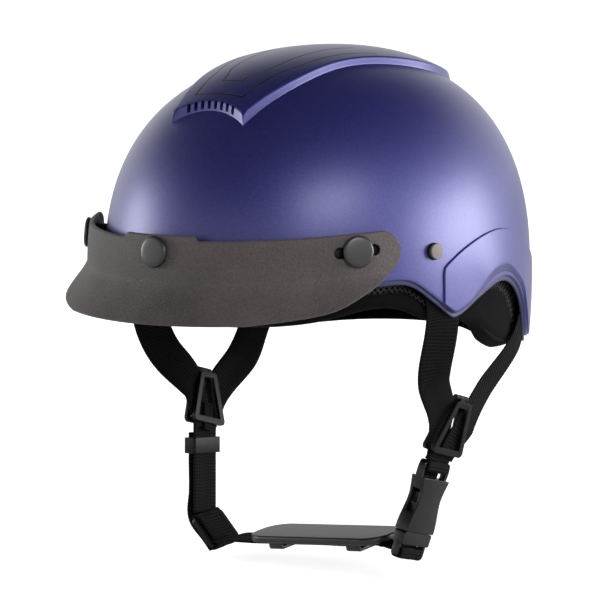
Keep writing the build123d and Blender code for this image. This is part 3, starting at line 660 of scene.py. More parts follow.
@dataclass(frozen=True)
class CushionCloth:
    """Black padded cloth with a band of open net beside the shell, in metres."""

    cloth: tuple[float, float, float] = (0.0008, 0.0008, 0.001)
    pale: tuple[float, float, float] = (0.004, 0.004, 0.0045)
    thread: tuple[float, float, float] = (0.05, 0.046, 0.045)
    net_pitch: float = 0.0017
    net_cord: float = 0.00045

    def build(self) -> bpy.types.Material:
        """Read the cushion's map: U along the ring in metres, V across the band.

        Returns:
            The material.
        """
        material, mix, shader = new_material("cushion_cloth")
        place = mix.put("ShaderNodeTexCoord")
        split = mix.put("ShaderNodeSeparateXYZ")
        mix.join(place.outputs["UV"], split.inputs[0])
        along, down = split.outputs[0], split.outputs[1]
        band = mix.put("ShaderNodeAttribute", attribute_name="band").outputs["Fac"]
        first = mix.math("PINGPONG", mix.plus(along, down), self.net_pitch)
        second = mix.math("PINGPONG", mix.minus(along, down), self.net_pitch)
        cord = mix.math("LESS_THAN", mix.math("MINIMUM", first, second), self.net_cord)
        stitch = mix.times(cord, band)
        holes = mix.times(mix.minus(1.0, cord), band)
        knit = mix.noise(place.outputs["Object"], Scale=1500.0, Detail=3.0, Roughness=0.7).outputs["Fac"]
        dark = mix.blend(holes, mix.blend(knit, self.cloth, self.pale), self.cloth)
        mix.join(mix.blend(stitch, dark, self.thread), shader.inputs["Base Color"])
        height = mix.plus(mix.times(knit, 0.4), mix.times(stitch, 0.9))
        bump = mix.bump(mix.minus(height, mix.times(holes, 0.7)), Distance=0.0006, Strength=0.6)
        mix.join(bump.outputs["Normal"], shader.inputs["Normal"])
        mix.fill(shader, Roughness=0.85, Specular_IOR_Level=0.08)
        return material


FINISHES = (
    Finish("peak_plastic", (0.034, 0.0275, 0.0275), (0.108, 0.09, 0.09), 0.55, 0.35, grain(1150.0, 0.5, 3.2)),
    Finish("cap_plastic", (0.012, 0.011, 0.012), (0.024, 0.022, 0.024), 0.36, 0.6, grain(900.0, 0.04, 1.2)),
    Finish("socket_plastic", (0.0015, 0.0015, 0.002), (0.006, 0.006, 0.0065), 0.55, 0.2, grain(900.0, 0.1, 1.0)),
    Finish("rivet_plastic", (0.15, 0.132, 0.125), (0.25, 0.222, 0.208), 0.5, 0.3, grain(1400.0, 0.06, 1.0)),
    Finish("washer_steel", (0.3, 0.3, 0.31), (0.5, 0.5, 0.52), 0.35, 0.5, grain(500.0, 0.05, 1.0), metallic=1.0),
    Finish("divider_plastic", (0.0018, 0.0018, 0.002), (0.007, 0.007, 0.0075), 0.45, 0.18, grain(800.0, 0.14, 1.4)),
    Finish("buckle_plastic", (0.002, 0.002, 0.0022), (0.008, 0.0078, 0.008), 0.34, 0.32, grain(700.0, 0.1, 1.2)),
    Finish("slider_plastic", (0.0015, 0.0015, 0.0017), (0.006, 0.006, 0.0065), 0.42, 0.16, grain(700.0, 0.1, 1.2)),
    Finish("cup_rubber", (0.004, 0.004, 0.0043), (0.014, 0.014, 0.0145), 0.4, 0.5, grain(600.0, 0.12, 1.4)),
    Finish("foam", (0.0015, 0.0015, 0.0015), (0.006, 0.006, 0.006), 0.85, 0.1, grain(320.0, 0.5, 1.0)),
    Finish("padding", (0.002, 0.002, 0.0023), (0.009, 0.009, 0.01), 0.9, 0.1, grain(1300.0, 0.5, 1.6)),
    Finish(
        "webbing", (0.0006, 0.0006, 0.0006), (0.014, 0.013, 0.013), 0.7, 0.06,
        {"Ribs": 526.3, "Threads": 11.0, "Depth": 0.55}, group="woven_ribs",
    ),
)


# ---- Meshes ----


def clear_selection() -> None:
    """Deselect everything."""
    for item in bpy.context.selected_objects:
        item.select_set(False)


def pick(piece: bpy.types.Object) -> None:
    """Select one piece and make it active.

    Args:
        piece: The piece.
    """
    clear_selection()
    piece.select_set(True)
    bpy.context.view_layer.objects.active = piece


def smooth_by_angle(piece: bpy.types.Object, degrees: float) -> None:
    """Shade a piece smooth, but for edges that turn by more than an angle."""
    pick(piece)
    bpy.ops.object.shade_smooth_by_angle(angle=math.radians(degrees))


def apply_all(piece: bpy.types.Object) -> None:
    """Apply each modifier of a piece in order.

    Args:
        piece: The piece.
    """
    pick(piece)
    for modifier in list(piece.modifiers):
        bpy.ops.object.modifier_apply(modifier=modifier.name)


def dress(
    piece: bpy.types.Object, finish: str, nodes: Sequence[str] = (), body: Body | None = Body.HELMET
) -> bpy.types.Object:
    """Give a piece its material and slot, set it on its body and let it stand for nodes.

    Args:
        piece: The finished mesh.
        finish: Name of its finish.
        nodes: CAD nodes that it stands for.
        body: Body that it rides on, or None for a piece that joins two bodies.

    Returns:
        The same piece.
    """
    piece.data.materials.clear()
    piece.data.materials.append(bpy.data.materials[look(finish)])
    if body:
        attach(piece, body.value)
    if nodes:
        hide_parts(*nodes)
    LOG.info("%s: %d faces", piece.name, len(piece.data.polygons))
    return piece


class MeshMaker:
    """Collects grids of points into one mesh with its map and marks."""

    def __init__(self, name: str) -> None:
        """Start an empty mesh.

        Args:
            name: Name of the mesh and its object.
        """
        self.name = name
        self.points: list[np.ndarray] = []
        self.faces: list[tuple[int, ...]] = []
        self.maps: list[tuple[float, float]] = []
        self.marks: dict[str, list[np.ndarray]] = {}
        self.size = 0

    def grid(
        self,
        points: np.ndarray,
        across: np.ndarray | None = None,
        along: np.ndarray | None = None,
        close_rows: bool = False,
        close_columns: bool = False,
        cap_rows: bool = False,
        marks: dict[str, np.ndarray] | None = None,
    ) -> None:
        """Add a grid of points as quads.

        Args:
            points: Rows by columns by three, in millimetres.
            across: U value of each column, one longer where the columns close; even steps if not given.
            along: V value of each row, one longer where the rows close; even steps if not given.
            close_rows: Whether the last row joins the first.
            close_columns: Whether the last column joins the first.
            cap_rows: Whether the first and last row are filled.
            marks: Values for each point under a name.
        """
        rows, columns = points.shape[:2]
        across = np.linspace(0, 1, columns + close_columns) if across is None else across
        along = np.linspace(0, 1, rows + close_rows) if along is None else along
        start = self.size
        self.points.append(points.reshape(-1, 3))
        for name, values in (marks or {}).items():
            self.marks.setdefault(name, []).append(values.reshape(-1))
        self.size += rows * columns
        last_row = rows if close_rows else rows - 1
        last_column = columns if close_columns else columns - 1
        for row in range(last_row):
            below, above = start + row * columns, start + (row + 1) % rows * columns
            for column in range(last_column):
                beside = (column + 1) % columns
                self.faces.append((below + column, below + beside, above + beside, above + column))
                for v, u in ((row, column), (row, column + 1), (row + 1, column + 1), (row + 1, column)):
                    self.maps.append((float(across[u]), float(along[v])))
        if cap_rows:
            for row, order in ((0, list(reversed(range(columns)))), (rows - 1, list(range(columns)))):
                self.faces.append(tuple(start + row * columns + column for column in order))
                self.maps += [(float(across[column]), float(along[row])) for column in order]

    def make(self, outward: bool = True) -> bpy.types.Object:
        """Finished object in metres with smooth faces that point out.

        Args:
            outward: Whether to turn all faces outwards.

        Returns:
            The object, in the scene's collection.
        """
        mesh = bpy.data.meshes.new(self.name)
        mesh.from_pydata((np.vstack(self.points) * MM).tolist(), [], self.faces)
        layer = mesh.uv_layers.new(name="map")
        layer.data.foreach_set("uv", np.array(self.maps, np.float32).ravel())
        for name, values in self.marks.items():
            mark = mesh.attributes.new(name, "FLOAT", "POINT")
            mark.data.foreach_set("value", np.concatenate(values).astype(np.float32))
        piece = bpy.data.objects.new(self.name, mesh)
        bpy.context.scene.collection.objects.link(piece)
        if outward:
            work = bmesh.new()
            work.from_mesh(mesh)
            bmesh.ops.recalc_face_normals(work, faces=work.faces)
            work.to_mesh(mesh)
            work.free()
        mesh.shade_smooth()
        return piece


def lathe(name: str, place: Place, profile: Sequence[tuple[float, float]], sides: int) -> bpy.types.Object:
    """Turned piece round a place's facing.

    Args:
        name: Name of the piece.
        place: Place of the axis.
        profile: Radii and distances out along the axis.
        sides: Faces round the axis.

    Returns:
        The closed mesh.
    """
    turns = np.linspace(0, 2 * math.pi, sides, endpoint=False)
    rows = [
        [tuple(place.at(radius * math.cos(turn), radius * math.sin(turn), out)) for turn in turns]
        for radius, out in profile
    ]
    maker = MeshMaker(name)
    maker.grid(np.array(rows), close_columns=True, cap_rows=True)
    return maker.make()


@dataclass
class Casting:
    """Rigid piece taken from its CAD node, with its sharp edges rounded over by some millimetres."""

    node: str
    finish: str
    body: Body = Body.HELMET
    edge: float = 0.35

    def build(self) -> bpy.types.Object:
        """Copy the node's mesh, merge its points, round its edges and dress it.

        Returns:
            The finished piece.
        """
        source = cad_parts[self.node]
        piece = bpy.data.objects.new(f"{self.node}_finished", source.data.copy())
        bpy.context.scene.collection.objects.link(piece)
        pick(piece)
        bpy.ops.object.mode_set(mode="EDIT")
        bpy.ops.mesh.select_all(action="SELECT")
        bpy.ops.mesh.remove_doubles(threshold=0.002 * MM)
        if self.edge:
            bpy.ops.mesh.dissolve_limited(angle_limit=math.radians(0.6))
        bpy.ops.mesh.normals_make_consistent(inside=False)
        bpy.ops.object.mode_set(mode="OBJECT")
        if self.edge:
            bevel = piece.modifiers.new("edge", "BEVEL")
            bevel.width = self.edge * MM
            bevel.segments = 3
            bevel.limit_method = "ANGLE"
            bevel.angle_limit = math.radians(38)
            apply_all(piece)
        smooth_by_angle(piece, 32)
        return dress(piece, self.finish, [self.node], body=self.body)


# ---- Shell and peak ----


@dataclass
class Shell:
    """Painted shell with its raised crown panel, front lip with slits and ear flares, in millimetres."""

    finish: str = "shell_paint"
    wall: float = 3.0
    bearings: int = 480
    outer_rows: int = 104
    inner_rows: int = 36
    crown_hole: float = 0.25
    edge_round: float = 0.6
    skirt_inset: float = 1.5
    skirt_gap: float = 0.1
    skirt_drop: float = 3.0
    # Share of black on the skirt below the rolled edge: a painted shade.
    skirt_painted_shade: float = 0.6
    panel_rise: float = 3.5
    panel_edge: float = 1.0
    panel_draft: float = 0.7
    lip_reach: float = 95.0
    lip_rise: float = 4.5
    slit_pitch: float = 4.2
    slit_half: float = 0.95
    slit_soft: tuple[float, float] = (-0.1, 0.12)
    slit_front: float = -60.0
    slit_count: int = 8
    slit_depth: float = 2.6
    slit_floor: float = 0.7
    flare_rise: float = 2.0
    flare_edge: float = 1.1
    flare_round: float = 0.9
    flare_columns: int = 360
    flare_steps: tuple[tuple[float, float], ...] = ((1.0, 1.0), (0.4, 1.0), (0.12, 0.75), (0.0, 0.3), (0.0, -0.4))
    scallop_width: float = 5.0
    scallop_blend: tuple[float, float] = (0.4, 3.0)
    scallop_steps: tuple[tuple[float, float], ...] = (
        (0.0, -0.4), (0.0, 0.1), (0.25, 0.3), (0.5, 0.55), (0.75, 0.8), (0.9, 0.95), (1.0, 1.0),
    )
    panel_line: tuple[tuple[float, float], ...] = (
        (24.0, -95.0), (28.0, -80.0), (33.0, -56.0), (37.0, -19.0), (43.2, 8.6), (47.5, 37.8), (35.6, 77.8),
        (0.0, 96.1),
    )
    flare_line: tuple[tuple[float, float], ...] = (
        (-36.4, -32.4), (-36.0, -12.0), (-35.6, 2.0), (-34.6, 6.4), (-31.0, 9.0), (-23.7, 12.6), (-11.3, 16.8),
        (-2.0, 18.8), (8.4, 19.8), (19.5, 19.2), (32.5, 15.8), (44.3, 10.2), (59.7, 2.2), (72.2, -5.0), (91.8, -27.0),
        (113.4, -56.0),
    )
    scallop_line: tuple[tuple[float, float], ...] = (
        (-17.3, -36.0), (-13.0, -14.6), (-8.0, -11.6), (0.2, -7.8), (8.5, -5.0), (16.7, -4.0), (24.5, -5.2),
        (32.0, -8.6), (45.6, -18.6), (54.0, -30.0), (59.0, -42.0), (61.0, -60.0),
    )

    def climb(
        self, profile: np.ndarray, lowest: np.ndarray, shares: np.ndarray
    ) -> list[tuple[np.ndarray, np.ndarray]]:
        """Rows up a wall.

        Args:
            profile: Profile of the wall's surface.
            lowest: Height of its lower edge at each bearing.
            shares: Shares of the way from that edge to the crown.

        Returns:
            Radii and heights of each row.
        """
        start = np.interp(lowest, profile[:, 1], profile[:, 2])
        lines = [start + (profile[-1, 2] - self.crown_hole - start) * share for share in shares]
        return [tuple(np.interp(line, profile[:, 2], profile[:, axis]) for axis in (0, 1)) for line in lines]

    def skin(self) -> None:
        """Outer wall, rolled lower edge, thin skirt with a painted shade and inner wall in one closed form."""
        bearing = np.linspace(0, 2 * math.pi, self.bearings, endpoint=False)
        curve = smooth_line(RIM_LINE, 600)
        along = DOME.centre - DOME.stretch * DOME.half_width * np.cos(bearing)
        rim = np.interp(along, curve[:, 0], curve[:, 1])
        outer, inner = DOME.profile(0.0), DOME.profile(-self.wall)
        edge = np.interp(rim, outer[:, 1], outer[:, 0])
        skirt, hem, half = edge - self.skirt_inset, rim + self.skirt_gap, (self.wall - self.skirt_inset) / 2
        rows = self.climb(outer, rim + self.edge_round, np.linspace(1, 0, self.outer_rows))
        rows += [(edge - self.edge_round * inset, rim + self.edge_round * rise) for inset, rise in QUARTER[1:]]
        rows += [(skirt, hem - (self.skirt_drop - half) * share) for share in np.linspace(0, 1, 5)]
        for turn in np.linspace(0, math.pi, 9)[1:-1]:
            rows.append((skirt - half * (1 - math.cos(turn)), hem - self.skirt_drop + half * (1 - math.sin(turn))))
        skirt_end = len(rows)
        rows += self.climb(inner, rim, np.linspace(0, 1, self.inner_rows))
        points = DOME.spread(bearing, *np.array(rows).transpose(1, 0, 2))
        # Painted shade on the skirt: its rows share the mark of the lip's slits, so the paint darkens them towards
        # black.
        shade = np.zeros(points.shape[:2])
        shade[self.outer_rows + len(QUARTER) - 1 : skirt_end] = self.skirt_painted_shade
        maker = MeshMaker("shell_skin")
        maker.grid(points, close_columns=True, cap_rows=True, marks={"slit": shade})
        dress(maker.make(), self.finish, ["outer_shell"])

    def over(self, out: np.ndarray, round_along: np.ndarray, lift: np.ndarray) -> np.ndarray:
        """Points above plan places, lifted off the dome.

        Args:
            out: Place across the helmet.
            round_along: Place along it in the round plan.
            lift: Offset from the shell's outer surface.

        Returns:
            The points.
        """
        radius = np.hypot(out, round_along)
        low, high = DOME.profile(0.0), DOME.profile(self.panel_rise)
        ground = np.interp(radius, low[::-1, 0], low[::-1, 1])
        roof = np.interp(radius, high[::-1, 0], high[::-1, 1])
        height = ground + (roof - ground) * lift / self.panel_rise
        return np.stack([out, DOME.centre + DOME.stretch * round_along, height], axis=-1)

    def panel(self) -> None:
        """Raised crown panel with a draft on its wall and slits in its front lip."""
        side = smooth_line(self.panel_line, 300)
        lip_out = np.linspace(0, side[0, 0], 220, endpoint=False)
        lip_along = -self.lip_reach + self.lip_rise * (1 - (lip_out / side[0, 0]) ** 2)
        half = np.vstack([np.stack([lip_out, lip_along], axis=1), side])
        outline = np.vstack([half, half[1:-1][::-1] * np.array([-1, 1])])
        outline[:, 1] = (outline[:, 1] - DOME.centre) / DOME.stretch
        ahead = np.roll(outline, -1, axis=0) - np.roll(outline, 1, axis=0)
        normal = np.stack([ahead[:, 1], -ahead[:, 0]], axis=1)
        normal /= np.linalg.norm(normal, axis=1)[:, None]
        if np.mean(np.sum(normal * outline, axis=1)) < 0:
            normal = -normal
        centres = (np.arange(self.slit_count) - (self.slit_count - 1) / 2) * self.slit_pitch
        gap = np.min(np.abs(outline[:, :1] - centres[None, :]), axis=1)
        slit = 1 - ramp(gap, *(self.slit_half + soft for soft in self.slit_soft))
        slit = slit * (outline[:, 1] < self.slit_front)
        rows, marks = [], []

        def ring(inset: float, lift: float, sunk: np.ndarray, share: float = 1.0) -> None:
            """Add the panel's outline at a height.

            Args:
                inset: How far the outline is drawn in.
                lift: Height above the shell.
                Share of the slits' depth at each point.
                share: Scale of the outline about its middle.
            """
            place = (outline - normal * (inset + self.slit_depth * sunk)[:, None]) * share
            rows.append(self.over(place[:, 0], place[:, 1], np.full(len(place), lift)))
            marks.append(sunk)

        whole = np.zeros(len(outline))
        for share in np.linspace(0.01, 1, 56):
            ring(self.panel_draft + self.panel_edge, self.panel_rise, whole, share)
        for step, (drop, inset) in enumerate(QUARTER[1:]):
            sunk = slit if step > 1 else whole
            ring(self.panel_draft + self.panel_edge * inset, self.panel_rise - self.panel_edge * drop, sunk)
        wall_top = self.panel_rise - self.panel_edge
        for lift in (wall_top * 0.8, wall_top * 0.6, self.slit_floor + 0.15, self.slit_floor - 0.1, 0.0, -0.5):
            sunk = slit if lift > self.slit_floor else whole
            ring(self.panel_draft * min(max(lift / wall_top, 0), 1), lift, sunk)
        maker = MeshMaker("crown_panel")
        maker.grid(np.array(rows), close_columns=True, cap_rows=True, marks={"slit": np.array(marks)})
        piece = maker.make()
        smooth_by_angle(piece, 40)
        dress(piece, self.finish)

    def flare_edges(self) -> tuple[np.ndarray, np.ndarray, np.ndarray]:
        """Outline of a flare, seen from the side.

        Returns:
            The upper line, the lower line, and the share of the scallop's bevel along the lower one.
        """
        upper, rim = smooth_line(self.flare_line, 900), smooth_line(RIM_LINE, 900)
        scallop = smooth_line(self.scallop_line, 600)
        keep = np.flatnonzero(upper[:, 1] >= np.interp(upper[:, 0], rim[:, 0], rim[:, 1]))
        upper = upper[keep[0] : keep[-1] + 1]
        along = np.linspace(upper[0, 0], upper[-1, 0], 1400)
        floor = np.interp(along, rim[:, 0], rim[:, 1])
        cut = np.interp(along, scallop[:, 0], scallop[:, 1], left=-99, right=-99)
        lower = np.stack([along, np.maximum(floor, cut)], axis=1)
        lower[0], lower[-1] = upper[0], upper[-1]
        reached = lengths(lower)
        stations = np.linspace(0, reached[-1], self.flare_columns)
        bevel = np.interp(stations, reached, ramp(lower[:, 1] - floor, *self.scallop_blend))
        return evenly(upper, self.flare_columns), evenly(lower, self.flare_columns), bevel

    def flare(self, side: Side) -> None:
        """Raised flare over the ear, with the scallop cut above the rear arch.

        Args:
            side: Side of the helmet.
        """
        top, bottom, bevel = self.flare_edges()
        span = np.linalg.norm(top - bottom, axis=1)
        edge = np.minimum(self.flare_round, span * 0.3)
        slope = np.minimum(self.flare_round + (self.scallop_width - self.flare_round) * bevel, span * 0.45)
        deep = self.flare_edge + (self.flare_rise - self.flare_edge) * bevel
        rows = [(slope * share, deep * lift) for share, lift in self.scallop_steps]
        for step in np.linspace(0, 1, 16)[1:-1]:
            rows.append((slope + (span - slope - edge) * step, deep + (self.flare_edge - deep) * step))
        rows += [(span - edge * share, self.flare_edge * lift) for share, lift in self.flare_steps]
        run = (top - bottom) / np.maximum(span, 1e-6)[:, None]
        low, high = DOME.profile(0.0), DOME.profile(self.flare_rise)
        points = []
        for distance, lift in rows:
            place = bottom + run * distance[:, None]
            ground = np.interp(place[:, 1], low[:, 1], low[:, 0])
            roof = np.interp(place[:, 1], high[:, 1], high[:, 0])
            radius = ground + (roof - ground) * lift / self.flare_rise
            back = (place[:, 0] - DOME.centre) / DOME.stretch
            out = side.value * np.sqrt(np.maximum(radius**2 - back**2, 0))
            points.append(np.stack([out, place[:, 0], place[:, 1]], axis=1))
        maker = MeshMaker(f"ear_flare_{side.name.lower()}")
        maker.grid(np.array(points))
        piece = maker.make(outward=False)
        work = bmesh.new()
        work.from_mesh(piece.data)
        work.faces.ensure_lookup_table()
        if work.faces[len(work.faces) // 2].normal.x * side.value < 0:
            bmesh.ops.reverse_faces(work, faces=work.faces)
        work.to_mesh(piece.data)
        work.free()
        dress(piece, self.finish)

    def build(self) -> None:
        """Make the shell's skin, panel and flares."""
        self.skin()
        self.panel()
        for side in Side:
            self.flare(side)


@dataclass
class Lining:
    """Foam liner and comfort padding inside the shell, in millimetres."""

    outer: float = -21.7
    inner: float = -26.9
    low: float = 9.3
    high: float = 45.7
    crown_low: float = 52.3
    row_breaks: tuple[float, float] = (-66.0, 62.0)
    gap: float = 0.5
    fullness: float = 0.96
    seam_depth: float = 0.38
    firmness: float = 0.7
    columns: int = 96
    rows: int = 40

    def cushion_face(self, across: np.ndarray, up: np.ndarray, channels: int) -> np.ndarray:
        """Share of the full thickness over a pad, low at its rim and along its sewn channels.

        Args:
            across: Share of the pad's length at each point.
            up: Share of its height.
            channels: How many sewn channels it has, or none.

        Returns:
            Shares from zero to one.
        """
        rim = (1 - np.abs(2 * across - 1) ** 8) * (1 - np.abs(2 * up - 1) ** 6)
        wave = np.abs(np.sin(math.pi * channels * across)) ** 0.35 if channels else 1.0
        return np.clip(rim, 0, 1) ** 0.5 * (1 - self.seam_depth * (1 - wave))

    def finish(self, maker: MeshMaker, node: str) -> None:
        """Args:
            maker: The pad's points and faces.
            node: CAD node that it stands for.
        """
        pad = maker.make()
        dress(pad, "padding", [node])

    def patch(self, name: str, first: float, last: float, side: float, channels: int) -> None:
        """Pad between two places along the helmet.

        Args:
            name: The node that the pad stands for.
            first: Its front edge, or a place in front of the helmet.
            last: Its back edge, or a place behind the helmet.
            side: 1 on the left, -1 on the right, 0 where it crosses the middle.
            channels: Sewn channels along the pad.
        """
        up = np.linspace(0, 1, self.rows)
        across = np.linspace(0, 1, self.columns)
        height = self.low + (self.high - self.low) * up
        radius = DOME.radius(height, (self.outer + self.inner) / 2)

        def bearing_at(along: float) -> np.ndarray:
            """Bearing at which each row reaches a place along the helmet."""
            return np.arccos(np.clip((DOME.centre - along) / (DOME.stretch * radius), -1, 1))

        if side:
            start, end = side * bearing_at(first), side * bearing_at(last)
        elif first < -DOME.front:
            start, end = -bearing_at(last), bearing_at(last)
        else:
            start, end = bearing_at(first), 2 * math.pi - bearing_at(first)
        bearing = start[:, None] + (end - start)[:, None] * across[None, :]
        share = self.cushion_face(across[None, :], up[:, None], channels)
        tall = np.repeat(height[:, None], self.columns, axis=1)
        back_radius = DOME.radius(tall, self.outer)
        front_radius = DOME.radius(tall, self.outer + (self.inner - self.outer) * self.fullness)
        back = DOME.spread(bearing, back_radius, tall)
        face = DOME.spread(bearing, back_radius + (front_radius - back_radius) * share, tall)
        maker = MeshMaker(f"{name}_cloth")
        loop = np.concatenate([back, face[:, ::-1]], axis=1)
        maker.grid(loop, along=height * MM, close_columns=True, cap_rows=True)
        self.finish(maker, name)

    def crown(self) -> None:
        """Round pad under the crown with three sewn rings and six spokes."""
        faces = []
        for line in (DOME.profile(self.outer), DOME.profile(self.inner)):
            low = np.interp(self.crown_low, line[:, 1], line[:, 2])
            reached = np.linspace(low, line[-1, 2] - 0.4, self.rows)
            faces.append([np.interp(reached, line[:, 2], line[:, axis])[:, None] for axis in (0, 1)])
        (outer_radius, outer_height), (inner_radius, inner_height) = faces
        bearing = np.linspace(0, 2 * math.pi, self.columns * 2, endpoint=False)
        share = np.linspace(0, 1, self.rows)
        rim = np.clip(1 - (1 - share) ** 10, 0, 1) ** 0.5
        ring = 0.7 + 0.3 * np.abs(np.sin(math.pi * 3 * share)) ** 0.4
        spoke = 0.82 + 0.18 * np.abs(np.sin(3 * bearing))[None, :] ** 0.4
        depth = (rim * ring)[:, None] * spoke
        radius = outer_radius + (inner_radius - outer_radius) * depth
        height = outer_height + (inner_height - outer_height) * depth
        back = DOME.spread(bearing, outer_radius, outer_height)
        sheet = np.concatenate([back[::-1], DOME.spread(bearing, radius, height)])
        maker = MeshMaker("crown_pad_cloth")
        maker.grid(sheet, along=np.linspace(0, 0.3, len(sheet)), close_columns=True, cap_rows=True)
        self.finish(maker, "crown_pad")

    def build(self) -> None:
        """Make the foam and the pads."""
        Casting("foam_liner", "foam", edge=0.0).build()
        front, rear = self.row_breaks
        self.patch("brow_pad", -200.0, front - self.gap, 0, 6)
        self.patch("nape_pad", rear + self.gap, 200.0, 0, 6)
        for side in Side:
            self.patch(f"side_pad_{side.name.lower()}", front + self.gap, rear - self.gap, side.value, 8)
        self.crown()


@dataclass
class Cushion:
    """Rolled cloth cushion round the head opening, with an open mesh band and piping, in millimetres."""

    outer: float = -5.8
    inner: float = -27.3
    lift: float = 1.0
    bottom_round: float = 9.0
    top_round: float = 2.5
    bend_limit: float = 0.26
    inner_rise: float = 9.0
    seam_drop: float = 7.0
    seam_half: float = 0.9
    seam_reach: float = 12.0
    pucker_half: float = 3.0
    pucker_depth: float = 0.22
    puckers: int = 150
    band_reach: float = 4.0
    plump: float = 0.8
    bearings: int = 640
    loop: int = 72
    pipe: float = 1.1
    pipe_sides: int = 10
    pipe_rise: float = 4.2
    pipe_inset: float = 2.6

    def edge(self, line: Sequence[tuple[float, float]], bearing: np.ndarray, radius: float) -> np.ndarray:
        """Height of an edge line at each bearing, read at a radius in the round plan.

        Args:
            line: Places along the helmet with their heights.
            bearing: Angles from the front.
            radius: Radius in the round plan.

        Returns:
            A height for each bearing.
        """
        curve = smooth_line(line, 400)
        along = DOME.centre - DOME.stretch * radius * np.cos(bearing)
        return np.interp(along, curve[:, 0], curve[:, 1])

    def section(self, top: float, low: float) -> tuple[np.ndarray, np.ndarray]:
        """Closed section of the roll.

        Args:
            top: Height of its upper face.
            low: Height of its lower face.

        Returns:
            Offsets from the shell and heights round the section.
        """
        sole = low + min(self.inner_rise, (top - low) * 0.45)
        corners = (
            (self.outer, top, self.top_round, 1, 1, 90),
            (self.outer, low, self.bottom_round, 1, -1, 0),
            (self.inner, sole, self.bottom_round, -1, -1, 270),
            (self.inner, top, self.top_round, -1, 1, 180),
        )
        points = []
        for grow, height, bend, out, rise, first in corners:
            bend = min(bend, (top - low) * self.bend_limit)
            for step in range(9):
                turn = math.radians(first - 90 * step / 8)
                points.append((grow - bend * (out - math.cos(turn)), height - bend * (rise - math.sin(turn))))
        loop = evenly(np.array(points + points[:1]), self.loop + 1)[:-1]
        return loop[:, 0], loop[:, 1]

    def folds(self, turn: float, grow: np.ndarray, height: np.ndarray, drop: np.ndarray) -> np.ndarray:
        """How far the cloth is drawn in round one section.

        Args:
            turn: Bearing of the section.
            grow: Offsets from the shell.
            height: Heights round the section.
            drop: Distances below the shell's edge.

        Returns:
            The depth of the seam, puckers and creases together.
        """
        below = drop - self.seam_drop
        seam = np.exp(-((below / self.seam_half) ** 2)) * (grow > self.outer - self.seam_reach)
        pucker = self.pucker_depth * np.sin(turn * self.puckers) * np.exp(-((below / self.pucker_half) ** 2))
        crease = 0.35 * np.sin(turn * 23 + 1.3) * np.sin(turn * 7 + height * 0.2)
        crease = crease + 0.18 * np.sin(turn * 61 + height * 0.5)
        facing_out = np.clip((grow - (self.outer + self.inner) / 2) / 6, -1, 1)
        return facing_out * (0.5 + seam + np.abs(pucker) + 0.35 * (crease + 0.53))

    def build(self) -> None:
        """Make the roll and its piping."""
        bearing = np.linspace(0, 2 * math.pi, self.bearings, endpoint=False)
        outer_radius = DOME.half_width + self.outer
        rim = self.edge(RIM_LINE, bearing, DOME.half_width)
        top = self.edge(RIM_LINE, bearing, outer_radius - 6) + self.lift
        low = self.edge(CUSHION_LINE, bearing, outer_radius - 6)
        rows, drops, band = [], [], []
        for turn, roof, floor, shell_edge in zip(bearing, top, low, rim):
            grow, height = self.section(float(roof), float(floor) + 0.25)
            drop = shell_edge - height
            grow = grow - self.folds(turn, grow, height, drop)
            radius = np.interp(height, PROFILE_HEIGHTS, PROFILE_RADII) + grow
            rows.append(DOME.spread(turn, radius, height))
            drops.append(drop)
            band.append(((drop < self.seam_drop) & (grow > self.outer - self.band_reach)).astype(float))
        points = np.array(rows)
        maker = MeshMaker("rim_cushion_cloth")
        ring = lengths(np.vstack([points[:, 0], points[:1, 0]])) * MM
        flat = np.zeros(self.loop + 1)
        maker.grid(points, flat, ring, close_rows=True, close_columns=True, marks={"band": np.array(band)})
        cushion = maker.make()
        layer = cushion.data.uv_layers["map"]
        drop_of = np.array(drops).reshape(-1) * MM
        for corner, loop in enumerate(cushion.data.loops):
            layer.data[corner].uv = (layer.data[corner].uv[1], drop_of[loop.vertex_index])
        dress(cushion, "cushion_cloth", ["rim_cushion"])
        self.piping(bearing, low)

    def piping(self, bearing: np.ndarray, low: np.ndarray) -> None:
        """Corded edge sewn along the lower outer corner of the roll.

        Args:
            bearing: Angles round the opening.
            low: Height of the roll's lower edge at each.
        """
        height = low + self.pipe_rise
        radius = np.interp(height, PROFILE_HEIGHTS, PROFILE_RADII) + self.outer - self.pipe_inset
        middle = DOME.spread(bearing, radius, height)
        out = (middle - np.array([0, DOME.centre, 0])) * np.array([1, 1, 0])
        out /= np.linalg.norm(out, axis=1)[:, None]
        turn = np.linspace(0, 2 * math.pi, self.pipe_sides, endpoint=False)
        twist = self.pipe * (1 + 0.05 * np.sin(bearing * 220))
        points = middle[:, None, :] + twist[:, None, None] * (
            np.cos(turn)[None, :, None] * out[:, None, :] + np.sin(turn)[None, :, None] * np.array([0, 0, 1.0])
        )
        ring = lengths(np.vstack([middle, middle[:1]])) * MM
        maker = MeshMaker("cushion_piping")
        maker.grid(points, along=ring, close_rows=True, close_columns=True)
        dress(maker.make(), "webbing")


# ---- Webbing ----


